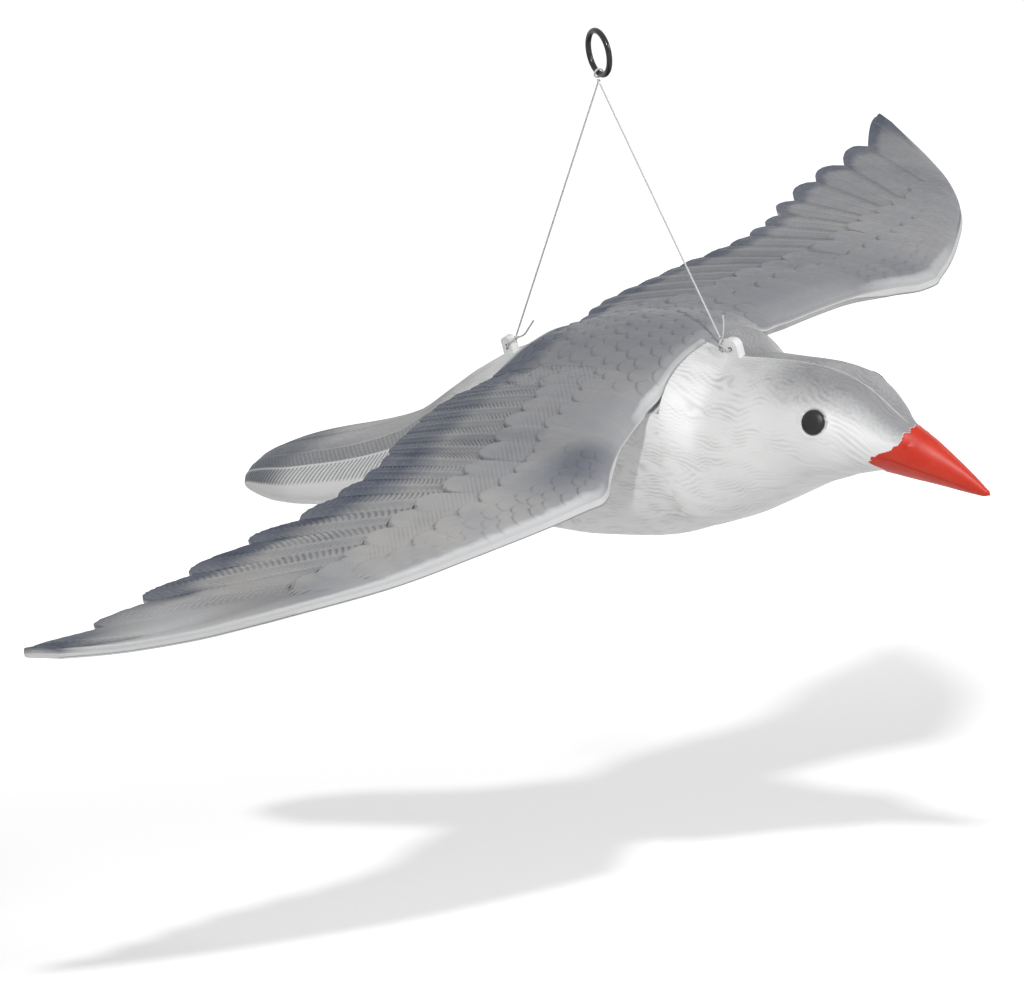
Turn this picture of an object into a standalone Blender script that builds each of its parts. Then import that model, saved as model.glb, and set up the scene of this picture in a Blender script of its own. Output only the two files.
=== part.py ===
# Hanging seagull decoy: two hollow body halves, a one-piece wing set made of an upper and a
# lower shell, push-in eyes, and a cord bridle tied to a hanging ring.
# Metres, +Z up. The origin is the point where the ring hangs on its hook, +X is towards the
# beak and +Y towards the left wing.

import math

import bmesh
import bpy
from mathutils import Matrix, Vector

# Driving dimensions. The bird's own frame has x towards the beak, y to the bird's left and
# z up, and starts at the hole of the rear lug.
WING_SPAN = 0.574
ROOT_CHORD = 0.100
BODY_LENGTH = 0.370
BODY_HEIGHT = 0.084
BODY_WIDTH = 0.088
TAIL_REACH = 0.169
SADDLE_FRONT = 0.105
SADDLE_REAR = 0.015

BODY_WALL = 0.0020
TAIL_WALL = 0.0033
THICKER_BEHIND = -0.060
SOLID_TAIL = 0.0250
WING_WALL = 0.0015
SEAM_GAP = 0.0003
FIT_GAP = 0.0003
SEAT_GAP = 0.0005

SEAT_DEPTH = 0.0060
SADDLE_PROUD_FRONT = 0.0005
SADDLE_PROUD_REAR = 0.0029
SADDLE_RAMP = 0.030
SADDLE_PARTING = 0.0013
VALLEY_ROUNDING = 0.0040

WING_CAMBER = 0.0090
TIP_CAMBER = 0.0015
CAMBER_FORM = 2.6  # brings the top of the camber's curve to 1
WING_EDGE_ABOVE = 0.0011
LEADING_BAND = 0.0044
TIP_BAND = 0.0023
TRAILING_BELOW = 0.0014
FEATHER_RELIEF = 0.0008

LUG_SPACING = 0.1185
LUG_THICKNESS = 0.0042
LUG_HOLE = 0.0024
LUG_TOP = 0.0042
LUG_BITE = 0.0012
FRONT_LUG_LENGTH = 0.0078
REAR_LUG_LENGTH = 0.0056

EYE_DIAMETER = 0.0106
EYE_HEIGHT = 0.0021
EYE_RECESS = 0.0010
EYE_ANGLE = math.radians(65)
EYE_STEM = 0.0030
EYE_STEM_LENGTH = 0.0070
EYE_BOSS = 0.0140
EYE_BOSS_DEPTH = 0.0045

PEG_DIAMETER = 0.0060
PEG_BARB = 0.0074
PEG_PLAY = 0.0008
PEG_TIP = 0.0040
PEG_FRONT = 0.088
PEG_REAR = 0.050
PEG_SIDE = 0.018

POST_DIAMETER = 0.0070
PIN_DIAMETER = 0.0030
PIN_REACH = 0.0040

CORD = 0.0008
RING_OUTER = 0.0204
RING_WIRE = 0.0024
RING_TURN = math.radians(-25)
BRIDLE_KNOT = 0.0018
LUG_KNOT = 0.0019
FRONT_TAIL_LENGTH = 0.0115
REAR_TAIL_LENGTH = 0.0145
APEX_FORWARD = 0.0838
APEX_HEIGHT = 0.1150
HANG_PITCH = math.radians(17.8)

# The outlines as drawn, in millimetres of the bird at the sizes below.
DRAWN_HALF_SPAN = 287.0
DRAWN_CHORD = 100.0
DRAWN_FRONT = 105.0
DRAWN_LENGTH = 370.0
DRAWN_HEIGHT = 84.0
DRAWN_WIDTH = 88.0
DRAWN_TAIL = 169.0
DRAWN_EYE = 171.5
DRAWN_POSTS = (-95.0, 25.0, 125.0)

# Ribs of the body from tail to beak: top x and z, bottom x and z, half width, squareness and
# how much narrower the section is towards its top than towards its bottom.
BODY_RIBS = (
    (-168.0, -62.4, -168.0, -67.0, 4.2, 2.0, 0.0),
    (-163.0, -57.2, -163.0, -67.7, 9.2, 2.1, 0.0),
    (-155.0, -51.7, -155.0, -68.8, 14.6, 2.2, 0.0),
    (-140.0, -46.5, -140.0, -70.2, 21.6, 2.2, 0.0),
    (-120.0, -43.0, -120.0, -69.8, 27.0, 2.2, 0.0),
    (-90.0, -38.2, -90.0, -69.4, 28.0, 2.2, 0.0),
    (-60.0, -30.2, -60.0, -70.4, 29.5, 2.2, 0.0),
    (-38.0, -19.5, -38.0, -71.5, 32.0, 2.2, 0.0),
    (-20.0, -10.5, -20.0, -72.6, 35.0, 2.3, 0.0),
    (0.0, -3.1, 0.0, -73.6, 38.5, 2.4, 0.0),
    (20.0, 0.2, 20.0, -75.0, 41.0, 2.5, 0.0),
    (45.0, 5.2, 45.0, -77.0, 43.4, 2.5, 0.0),
    (65.0, 7.0, 65.0, -77.0, 44.0, 2.5, 0.0),
    (85.0, 6.0, 85.0, -75.4, 44.0, 2.6, 0.0),
    (105.0, 2.6, 105.0, -71.0, 43.4, 2.6, 0.0),
    (120.0, -3.2, 120.0, -68.4, 38.0, 2.3, 0.37),
    (135.0, -4.1, 135.0, -63.5, 33.4, 2.2, 0.31),
    (150.0, -5.2, 149.0, -58.4, 28.5, 2.1, 0.22),
    (163.0, -7.2, 159.0, -54.8, 26.4, 2.1, 0.13),
    (174.0, -10.8, 166.0, -53.1, 24.5, 2.15, 0.1),
    (184.0, -16.8, 173.0, -51.5, 20.7, 2.1, 0.09),
    (192.0, -24.6, 178.0, -50.9, 16.5, 2.05, 0.09),
    (198.0, -30.6, 182.5, -50.8, 11.9, 1.9, 0.08),
    (202.0, -33.6, 187.0, -52.0, 10.2, 1.8, 0.05),
    (209.5, -39.2, 197.0, -54.6, 8.6, 1.7, 0.0),
    (219.0, -47.6, 209.5, -57.6, 5.5, 1.7, 0.0),
    (226.5, -55.2, 220.0, -60.2, 3.0, 1.7, 0.0),
    (230.0, -59.4, 227.5, -61.8, 1.5, 1.8, 0.0),
)
TAIL_END = (-169.0, -64.8)
BEAK_TIP = (230.8, -61.4)
BEAK_RIB = 23
LAST_HOLLOW_RIB = 22

# Wing outline: distance out, x and height of the leading edge's parting line, then of the
# trailing edge through the feather tips.
LEADING = (
    (0.0, 105.0, -8.0),
    (43.0, 105.0, -8.5),
    (50.0, 108.0, -8.9),
    (60.0, 111.5, -9.2),
    (81.0, 118.7, -10.7),
    (97.0, 126.0, -13.4),
    (108.0, 132.2, -15.8),
    (114.5, 134.2, -16.0),
    (120.0, 132.0, -16.0),
    (135.0, 125.8, -16.4),
    (163.0, 110.6, -17.3),
    (194.0, 90.2, -18.5),
    (222.0, 65.3, -18.2),
    (244.0, 42.0, -18.2),
    (264.0, 17.7, -16.7),
    (280.0, -4.5, -13.5),
    (285.5, -13.0, -11.8),
    (287.0, -17.0, -11.0),
)
TRAILING = (
    (0.0, 15.0, -4.5),
    (22.0, 14.0, -4.5),
    (34.0, 10.0, -4.4),
    (50.0, 6.0, -4.2),
    (68.0, 6.5, -4.7),
    (90.0, 13.0, -4.9),
    (112.0, 22.0, -4.4),
    (124.0, 25.0, -4.7),
    (138.0, 24.0, -5.4),
    (155.0, 18.5, -7.4),
    (179.0, 7.0, -9.4),
    (204.0, -2.0, -11.2),
    (229.0, -8.0, -12.5),
    (254.0, -12.5, -13.2),
    (285.0, -20.0, -10.9),
    (287.0, -20.5, -10.8),
)

# Feathers from the wing's tip inwards: tip x and y, then x and y of the notch on the inner
# side, then how far out the notch's line starts on the leading edge.
FEATHERS = (
    (-20.5, 284.5, -4.5, 257.5, 194.0),
    (-12.3, 252.0, 1.0, 233.0, 158.0),
    (-9.0, 227.5, 2.3, 211.0, 147.5),
    (-2.8, 201.5, 11.3, 184.0, 140.0),
    (6.5, 176.0, 20.0, 164.0, 134.0),
    (17.7, 155.0, 25.3, 145.5, 128.0),
    (23.2, 138.2, 27.3, 131.0, 121.5),
    (24.4, 124.1, 25.6, 118.5, 114.5),
    (21.8, 111.6, 20.5, 105.5, 101.0),
    (16.8, 101.5, 15.0, 95.5, 91.0),
    (13.0, 90.8, 12.0, 84.5, 80.0),
    (10.4, 79.0, 9.5, 73.0, 69.0),
    (7.0, 68.2, 7.4, 62.0, 59.0),
    (5.8, 56.0, 7.8, 50.5, 50.0),
    (7.0, 45.0, 10.0, 40.0, 43.0),
    (10.5, 34.0, 13.3, 28.5, 33.0),
)
WING_TIP = (-12.0, 282.8, 282.8)
SADDLE_LINES = ((21.0, 24.0), (14.0, 16.0), (7.0, 8.0), (0.0, 0.0))
LONG_FEATHER = (0.0, 0.06, 0.2, 0.4, 0.6, 0.8)
SHORT_FEATHER = (0.0, 0.12, 0.4)
SMALL_FEATHER = (0.0, 0.35)
SMALL_FROM = 8
TIP_SHARE = 0.3
CHORD_SHARES = (0.0, 0.045, 0.17, 0.38, 0.62, 0.82, 1.0)
RELIEF_START = 0.45

RIB_STEPS = 14
SEAT_STEP = 0.010
STEP_RUN = 0.0002
BODY_MARGIN = 0.0045

# Ways of the loose cord ends from their knots, as shares of their lengths along x and z.
FRONT_TAIL_WAY = ((0.0, 0.0), (0.14, 0.32), (0.25, 0.65), (0.31, 0.95))
REAR_TAIL_WAY = ((0.0, 0.0), (0.31, 0.10), (0.57, 0.32), (0.82, 0.55))


# Curves and small helpers


def smooth(knots, at, column):
    """Value at a point of the shape-keeping curve through one column of knots."""
    if at <= knots[0][0]:
        return knots[0][column]
    if at >= knots[-1][0]:
        return knots[-1][column]
    last = len(knots) - 2
    i = 0
    while i < last and knots[i + 1][0] <= at:
        i += 1

    def rise(k):
        return (knots[k + 1][column] - knots[k][column]) / (knots[k + 1][0] - knots[k][0])

    def tangent(k):
        if k == 0:
            return rise(0)
        if k == len(knots) - 1:
            return rise(k - 1)
        before = rise(k - 1)
        after = rise(k)
        if before * after <= 0:
            return 0.0
        return 2 * before * after / (before + after)

    run = knots[i + 1][0] - knots[i][0]
    t = (at - knots[i][0]) / run
    start = knots[i][column]
    end = knots[i + 1][column]
    return (
        start * (2 * t**3 - 3 * t**2 + 1)
        + tangent(i) * run * (t**3 - 2 * t**2 + t)
        + end * (3 * t**2 - 2 * t**3)
        + tangent(i + 1) * run * (t**3 - t**2)
    )


def ease(t):
    t = min(max(t, 0.0), 1.0)
    return t * t * (3 - 2 * t)


def blend(a, b, t):
    return a + (b - a) * t


def smooth_max(a, b, rounding):
    return (a + b + math.sqrt((a - b) ** 2 + rounding**2)) / 2


# Body form


def body_rib(station):
    """Top and bottom point, half width, squareness and top narrowing of the rib at a station."""
    long_scale = BODY_LENGTH / DRAWN_LENGTH
    tall_scale = BODY_HEIGHT / DRAWN_HEIGHT
    wide_scale = BODY_WIDTH / DRAWN_WIDTH
    drawn = (station + TAIL_REACH) / long_scale - DRAWN_TAIL
    bottom_x = drawn if drawn < BODY_RIBS[0][0] else smooth(BODY_RIBS, drawn, 2)
    top = Vector((station, 0.0, smooth(BODY_RIBS, drawn, 1) * tall_scale))
    bottom = Vector(
        ((bottom_x + DRAWN_TAIL) * long_scale - TAIL_REACH, 0.0, smooth(BODY_RIBS, drawn, 3) * tall_scale)
    )
    half = smooth(BODY_RIBS, drawn, 4) * wide_scale
    return top, bottom, half, smooth(BODY_RIBS, drawn, 5), smooth(BODY_RIBS, drawn, 6)


def station_of(drawn_x):
    return (drawn_x + DRAWN_TAIL) * BODY_LENGTH / DRAWN_LENGTH - TAIL_REACH


def rib_point(station, angle, inset=0.0):
    """Point of the body's skin, from the top at angle 0 to the bottom at half a turn."""
    top, bottom, half, square, narrowing = body_rib(station)
    centre = (top + bottom) / 2
    reach = (top - bottom) / 2
    tall = reach.length - inset
    wide = half * (1 - narrowing * max(math.cos(angle), 0.0) ** 2) - inset
    rise = math.copysign(abs(math.cos(angle)) ** (2 / square), math.cos(angle))
    out = math.sin(angle) ** (2 / square) if 0 < angle < math.pi else 0.0
    point = centre + reach.normalized() * tall * rise
    return Vector((point.x, wide * out, point.z))


def back_height(x, y):
    """Height of the body's own back over a point between the tail and the saddle's front."""
    top, bottom, half, square, narrowing = body_rib(x)
    middle = (top.z + bottom.z) / 2
    tall = (top.z - bottom.z) / 2
    share = min(abs(y) / half, 1.0)
    return middle + tall * (1 - share**square) ** (1 / square)


# Wing form


def wing_x(drawn):
    return SADDLE_FRONT + (drawn - DRAWN_FRONT) * ROOT_CHORD / DRAWN_CHORD


def wing_y(drawn):
    return drawn * WING_SPAN / 2 / DRAWN_HALF_SPAN


def drawn_out(y):
    return abs(y) * DRAWN_HALF_SPAN / (WING_SPAN / 2)


def chord_share(x, y):
    """How far back a point lies, from 0 on the leading edge to 1 on the trailing edge."""
    out = drawn_out(y)
    front = wing_x(smooth(LEADING, out, 1))
    rear = wing_x(smooth(TRAILING, out, 1))
    return min(max((front - x) / (front - rear), 0.0), 1.0)


def parting_height(x, y):
    share = chord_share(x, y)
    out = drawn_out(y)
    drawn = blend(smooth(LEADING, out, 2), smooth(TRAILING, out, 2), share)
    return drawn * WING_SPAN / 2 / DRAWN_HALF_SPAN


def saddle_ramp(x):
    return ease((x - SADDLE_REAR) / SADDLE_RAMP)


def proud(x):
    return blend(SADDLE_PROUD_REAR, SADDLE_PROUD_FRONT, ease((x - SADDLE_REAR) / (SADDLE_FRONT - SADDLE_REAR)))


def wing_top(x, y):
    share = chord_share(x, y)
    tipward = ease(abs(y) / (WING_SPAN / 2))
    camber = blend(WING_CAMBER, TIP_CAMBER, tipward)
    lift = WING_EDGE_ABOVE + camber * CAMBER_FORM * math.sqrt(share) * (1 - share)
    return smooth_max(parting_height(x, y) + lift, back_height(x, y) + proud(x), VALLEY_ROUNDING)


def wing_parting(x, y):
    return smooth_max(parting_height(x, y), back_height(x, y) + proud(x) - SADDLE_PARTING, VALLEY_ROUNDING)


def wing_bottom(x, y):
    share = chord_share(x, y)
    tipward = ease(abs(y) / (WING_SPAN / 2))
    drop = blend(blend(LEADING_BAND, TIP_BAND, tipward), TRAILING_BELOW, share)
    rest = blend(-SEAT_GAP, SEAT_DEPTH, saddle_ramp(x))
    return smooth_max(parting_height(x, y) - drop, back_height(x, y) - rest, VALLEY_ROUNDING)


def seat_height(x, y):
    """Floor of the recess in the body's back that takes the wing set."""
    return wing_bottom(min(x, SADDLE_FRONT), y) - SEAT_GAP


def feather_edge(outer, feather, share):
    """Point on a feather's free edge, from its outer notch to its inner one."""
    inner = feather[2:4]
    base = (blend(outer[0], inner[0], share), blend(outer[1], inner[1], share))
    foot = (blend(outer[0], inner[0], TIP_SHARE), blend(outer[1], inner[1], TIP_SHARE))
    skew = math.log(0.5) / math.log(TIP_SHARE)
    bump = max(math.sin(math.pi * share**skew), 0.0) ** 0.8
    return (
        base[0] + (feather[0] - foot[0]) * bump,
        base[1] + (feather[1] - foot[1]) * bump,
    )


def wing_lines():
    """Lines from the leading edge to the trailing edge, from the wing's tip to its middle.

    Each is the point on the leading edge, the point on the trailing edge and the share
    across its feather, which is None over the saddle."""
    lines = []
    outer = WING_TIP
    for number, feather in enumerate(FEATHERS):
        shares = SMALL_FEATHER if number >= SMALL_FROM else SHORT_FEATHER
        if number == 0:
            shares = LONG_FEATHER
        for share in shares:
            back_x, back_y = feather_edge(outer, feather, share)
            out = blend(outer[2], feather[4], share)
            lines.append(((wing_x(smooth(LEADING, out, 1)), wing_y(out)), (wing_x(back_x), wing_y(back_y)), share))
        outer = feather[2:]
    lines.append(
        ((wing_x(smooth(LEADING, outer[2], 1)), wing_y(outer[2])), (wing_x(outer[0]), wing_y(outer[1])), None)
    )
    for back_y, front_y in SADDLE_LINES:
        back_x = smooth(TRAILING, back_y, 1)
        lines.append(((SADDLE_FRONT, wing_y(front_y)), (wing_x(back_x), wing_y(back_y)), None))
    return lines


def feather_relief(across, share):
    if across is None:
        return 0.0
    fade = ease((share - RELIEF_START) / (1 - RELIEF_START))
    return FEATHER_RELIEF * fade * (math.sin(math.pi * across) - 0.5)


# Mesh builders


def remove_everything():
    for obj in list(bpy.data.objects):
        bpy.data.objects.remove(obj, do_unlink=True)


def material(name, colour, roughness):
    found = bpy.data.materials.get(name) or bpy.data.materials.new(name)
    found.use_nodes = True
    shader = found.node_tree.nodes["Principled BSDF"]
    shader.inputs["Base Color"].default_value = (*colour, 1.0)
    shader.inputs["Roughness"].default_value = roughness
    shader.inputs["Metallic"].default_value = 0.0
    return found


def add_empty(name, place, parent=None):
    obj = bpy.data.objects.new(name, None)
    obj.matrix_local = place
    obj.parent = parent
    bpy.context.scene.collection.objects.link(obj)
    return obj


def add_object(name, data, parent=None, finish=None):
    obj = bpy.data.objects.new(name, data)
    obj.parent = parent
    bpy.context.scene.collection.objects.link(obj)
    if finish:
        data.materials.append(finish)
    return obj


def mesh_from(name, bm, crease=35):
    bmesh.ops.recalc_face_normals(bm, faces=bm.faces)
    mesh = bpy.data.meshes.new(name)
    bm.to_mesh(mesh)
    bm.free()
    mesh.shade_smooth()
    mesh.set_sharp_from_angle(angle=math.radians(crease))
    return mesh


def as_tool(obj):
    obj.hide_render = True
    obj.hide_set(True)
    obj.display_type = "WIRE"
    return obj


def boolean(target, tool, operation):
    modifier = target.modifiers.new(f"{operation.lower()} {tool.name}", "BOOLEAN")
    modifier.operation = operation
    modifier.solver = "EXACT"
    modifier.object = tool


def add_lathe(bm, profile, steps, place):
    """Turns a profile of (radius, height) points, which starts and ends on the axis."""
    rings = []
    for radius, height in profile:
        if radius == 0:
            rings.append([bm.verts.new(place @ Vector((0, 0, height)))])
            continue
        ring = []
        for k in range(steps):
            turn = 2 * math.pi * k / steps
            ring.append(bm.verts.new(place @ Vector((radius * math.cos(turn), radius * math.sin(turn), height))))
        rings.append(ring)
    for low, high in zip(rings, rings[1:]):
        for k in range(steps):
            after = (k + 1) % steps
            corners = [low[k % len(low)], low[after % len(low)], high[after % len(high)], high[k % len(high)]]
            unique = list(dict.fromkeys(corners))
            bm.faces.new(unique)


def add_cylinder(bm, radius, start, end, steps=20):
    axis = end - start
    turn = Vector((0, 0, 1)).rotation_difference(axis.normalized()).to_matrix().to_4x4()
    place = Matrix.Translation(start) @ turn
    add_lathe(bm, ((0, 0), (radius, 0), (radius, axis.length), (0, axis.length)), steps, place)


def add_tube(bm, points, radius, sides, closed=False):
    """Sweeps a round section along points, with caps unless the path is closed."""
    count = len(points)
    rings = []
    side = None
    for i, point in enumerate(points):
        before = points[i - 1] if (i or closed) else point
        after = points[(i + 1) % count] if (i < count - 1 or closed) else point
        along = (after - before).normalized()
        if side is None:
            side = along.orthogonal().normalized()
        side = (side - along * side.dot(along)).normalized()
        other = along.cross(side)
        ring = []
        for k in range(sides):
            turn = 2 * math.pi * k / sides
            ring.append(bm.verts.new(point + radius * (math.cos(turn) * side + math.sin(turn) * other)))
        rings.append(ring)
    pairs = list(zip(rings, rings[1:]))
    if closed:
        # The last ring meets the first one corner by corner, shifted to the nearest corner.
        first = rings[0]
        shift = min(range(sides), key=lambda k: (rings[-1][0].co - first[k].co).length)
        pairs.append((rings[-1], first[shift:] + first[:shift]))
    for one, two in pairs:
        for k in range(sides):
            after = (k + 1) % sides
            bm.faces.new((one[k], one[after], two[after], two[k]))
    if not closed:
        bm.faces.new(rings[0])
        bm.faces.new(rings[-1])


def rounded_path(corners, steps=4):
    """Points of a smooth curve through the given points."""
    points = []
    for i in range(len(corners) - 1):
        p0 = corners[max(i - 1, 0)]
        p1 = corners[i]
        p2 = corners[i + 1]
        p3 = corners[min(i + 2, len(corners) - 1)]
        for k in range(steps):
            t = k / steps
            points.append(
                0.5
                * (
                    2 * p1
                    + (p2 - p0) * t
                    + (2 * p0 - 5 * p1 + 4 * p2 - p3) * t**2
                    + (3 * p1 - p0 - 3 * p2 + p3) * t**3
                )
            )
    points.append(corners[-1])
    return points


# Body halves


def outer_stations():
    """Stations of the skin, with a close pair at the step in front of the saddle."""
    front = SADDLE_FRONT + SEAT_GAP
    found = [station_of(rib[0]) for rib in BODY_RIBS]
    seat_count = round((SADDLE_FRONT - SADDLE_REAR) / SEAT_STEP)
    seat = [blend(SADDLE_REAR, SADDLE_FRONT, k / seat_count) for k in range(seat_count + 1)]
    clear = BODY_MARGIN / 2
    found = [x for x in found if x < SADDLE_REAR - clear or x > front + STEP_RUN + clear]
    return sorted(found + seat[:-1] + [front, front + STEP_RUN])


def wall(x):
    """Thickness of the body's wall: the narrow tail is thicker than the rest."""
    return blend(BODY_WALL, TAIL_WALL, ease(x / THICKER_BEHIND))


def hull(hollow):
    """Grid of the left half of the skin, or of the hollow's face behind its wall."""
    step = SADDLE_FRONT + SEAT_GAP + (BODY_WALL if hollow else 0.0)
    stations = outer_stations()
    if hollow:
        first = station_of(TAIL_END[0]) + SOLID_TAIL
        last = station_of(BODY_RIBS[LAST_HOLLOW_RIB][0]) - BODY_WALL
        front = SADDLE_FRONT + SEAT_GAP
        stations = [x for x in stations if first + 0.002 < x < last and not front - 1e-6 < x < step + STEP_RUN]
        stations = sorted(stations + [first, step, step + STEP_RUN])
    rows = []
    for x in stations:
        row = []
        inset = wall(x) if hollow else 0.0
        for k in range(RIB_STEPS + 1):
            point = rib_point(x, math.pi * k / RIB_STEPS, inset)
            if SADDLE_REAR - 1e-6 < x < step + STEP_RUN / 2 and k < RIB_STEPS / 2:
                point.z = min(point.z, seat_height(point.x, point.y) - inset)
            point.y = max(point.y, SEAM_GAP / 2)
            row.append(point)
        rows.append(row)
    return rows


def add_half_hull(bm, rows, tail, beak):
    """Skins one half and returns its edges on the seam."""
    grid = [[bm.verts.new(point) for point in row] for row in rows]
    for one, two in zip(grid, grid[1:]):
        for k in range(len(one) - 1):
            bm.faces.new((one[k], one[k + 1], two[k + 1], two[k]))
    ends = (bm.verts.new(tail), bm.verts.new(beak))
    for end, row in zip(ends, (grid[0], grid[-1])):
        for k in range(len(row) - 1):
            bm.faces.new((row[k], row[k + 1], end))
    loop = [ends[0]] + [row[0] for row in grid] + [ends[1]] + [row[-1] for row in reversed(grid)]
    return [bm.edges.get((a, b)) for a, b in zip(loop, loop[1:] + loop[:1])]


def seam_point(drawn_x, drawn_z):
    return Vector((station_of(drawn_x), SEAM_GAP / 2, drawn_z * BODY_HEIGHT / DRAWN_HEIGHT))


def half_shell_mesh(name, side):
    bm = bmesh.new()
    edges = add_half_hull(bm, hull(False), seam_point(*TAIL_END), seam_point(*BEAK_TIP))
    inner = hull(True)
    tail = (inner[0][0] + inner[0][-1]) / 2 - Vector((BODY_WALL / 2, 0, 0))
    beak = (inner[-1][0] + inner[-1][-1]) / 2 + Vector((BODY_WALL / 2, 0, 0))
    edges += add_half_hull(bm, inner, tail, beak)
    bmesh.ops.triangle_fill(bm, use_beauty=True, edges=edges, normal=(0, 1, 0))
    bmesh.ops.transform(bm, matrix=Matrix.Diagonal((1, side, 1, 1)), verts=bm.verts)
    mesh = mesh_from(name, bm)
    return mesh


def eye_place():
    """Frame of the left eye: on the skin, z along the skin's outward normal."""
    step = 0.001
    station = station_of(DRAWN_EYE)
    here = rib_point(station, EYE_ANGLE)
    along = rib_point(station + step, EYE_ANGLE) - rib_point(station - step, EYE_ANGLE)
    around = rib_point(station, EYE_ANGLE + step) - rib_point(station, EYE_ANGLE - step)
    normal = along.cross(around).normalized()
    if normal.y < 0:
        normal.negate()
    turn = Vector((0, 0, 1)).rotation_difference(normal).to_matrix().to_4x4()
    return Matrix.Translation(here) @ turn


def mirrored(place, side):
    """The frame itself, or its mirror image on the bird's right with z still outward."""
    if side > 0:
        return place
    flip = Matrix.Diagonal((1, -1, 1, 1))
    return flip @ place @ flip


def post_middles():
    """Station, middle height and half width of the body at each inner post."""
    found = []
    for drawn in DRAWN_POSTS:
        top, bottom, half, square, narrowing = body_rib(station_of(drawn))
        found.append((station_of(drawn), (top.z + bottom.z) / 2, half))
    return found


def lug_outline(x, length):
    """Side view of a lug: a tab with a rounded top, from its root in the back's wall up."""
    half = length / 2
    corner = min(half, LUG_TOP) * 0.8
    root = min(back_height(x - half, 0), back_height(x + half, 0)) - LUG_BITE
    points = [Vector((-half, 0, root)), Vector((half, 0, root))]
    for k in range(5):
        turn = math.pi / 2 * k / 4
        points.append(Vector((half - corner + corner * math.cos(turn), 0, LUG_TOP - corner + corner * math.sin(turn))))
    for k in range(5):
        turn = math.pi / 2 * (1 + k / 4)
        points.append(Vector((-half + corner + corner * math.cos(turn), 0, LUG_TOP - corner + corner * math.sin(turn))))
    return points


def add_half_lug(bm, x, length, side):
    outline = lug_outline(x, length)
    near = [bm.verts.new(p + Vector((x, side * (SEAM_GAP / 2 + 0.00004), 0))) for p in outline]
    far = [bm.verts.new(p + Vector((x, side * LUG_THICKNESS / 2, 0))) for p in outline]
    bm.faces.new(near)
    bm.faces.new(far)
    for k in range(len(outline)):
        after = (k + 1) % len(outline)
        bm.faces.new((near[k], near[after], far[after], far[k]))


def body_additions(name, side, parent):
    """Lugs, inner posts, the locating pins of the left half and the bosses behind the eyes."""
    bm = bmesh.new()
    add_half_lug(bm, 0.0, REAR_LUG_LENGTH, side)
    add_half_lug(bm, LUG_SPACING, FRONT_LUG_LENGTH, side)
    for station, middle, half in post_middles():
        start = Vector((station, side * (SEAM_GAP / 2 + 0.00004), middle))
        end = Vector((station, side * (half - BODY_WALL * 0.6), middle))
        add_cylinder(bm, POST_DIAMETER / 2, start, end, 12)
    eye = mirrored(eye_place(), side)
    add_cylinder(bm, EYE_BOSS / 2, eye @ Vector((0, 0, -EYE_RECESS)), eye @ Vector((0, 0, -EYE_BOSS_DEPTH)), 16)
    return as_tool(add_object(name, mesh_from(name, bm), parent))


def body_pins(name, parent):
    bm = bmesh.new()
    for station, middle, half in post_middles():
        start = Vector((station, BODY_WALL, middle))
        end = Vector((station, -PIN_REACH, middle))
        add_cylinder(bm, PIN_DIAMETER / 2, start, end, 12)
    return as_tool(add_object(name, mesh_from(name, bm), parent))


def body_cuts(name, side, parent):
    """Lug holes, eye seats, holes for the wing set's pegs and the right half's sockets."""
    bm = bmesh.new()
    for x in (0.0, LUG_SPACING):
        add_cylinder(bm, LUG_HOLE / 2, Vector((x, -LUG_THICKNESS, 0)), Vector((x, LUG_THICKNESS, 0)), 16)
    eye = mirrored(eye_place(), side)
    seat = EYE_DIAMETER / 2 + FIT_GAP
    stem = EYE_STEM / 2 + FIT_GAP
    below = EYE_BOSS_DEPTH + BODY_WALL
    profile = ((0, -below), (stem, -below), (stem, -EYE_RECESS), (seat, -EYE_RECESS), (seat, 0.004), (0, 0.004))
    add_lathe(bm, profile, 20, eye)
    for x in (PEG_FRONT, PEG_REAR):
        floor = seat_height(x, PEG_SIDE)
        start = Vector((x, side * PEG_SIDE, floor - 3 * BODY_WALL))
        end = Vector((x, side * PEG_SIDE, floor + BODY_WALL))
        add_cylinder(bm, PEG_DIAMETER / 2 + FIT_GAP, start, end, 16)
    if side < 0:
        for station, middle, half in post_middles():
            start = Vector((station, BODY_WALL, middle))
            end = Vector((station, -PIN_REACH - 2 * FIT_GAP, middle))
            add_cylinder(bm, PIN_DIAMETER / 2 + FIT_GAP, start, end, 12)
    return as_tool(add_object(name, mesh_from(name, bm), parent))


def paint_beak(mesh):
    """Gives the faces ahead of the feathered edge the beak's colour."""
    start = station_of(BODY_RIBS[BEAK_RIB][0])
    top, bottom, half, square, narrowing = body_rib(start)
    along = (top - bottom).normalized()
    ahead = Vector((along.z, 0, -along.x))
    for face in mesh.polygons:
        if (Vector(face.center) - top).dot(ahead) > -0.0005:
            face.material_index = 1


def build_body(bird):
    white = material("body_white", (0.80, 0.81, 0.80), 0.5)
    red = material("beak_red", (0.62, 0.06, 0.03), 0.4)
    for name, side in (("body_shell_left", 1), ("body_shell_right", -1)):
        shell = add_object(name, half_shell_mesh(name, side), bird, white)
        shell.data.materials.append(red)
        paint_beak(shell.data)
        boolean(shell, body_additions(f"{name}_additions", side, bird), "UNION")
        boolean(shell, body_cuts(f"{name}_cuts", side, bird), "DIFFERENCE")
        if side > 0:
            boolean(shell, body_pins(f"{name}_pins", bird), "UNION")


# Eyes


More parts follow.
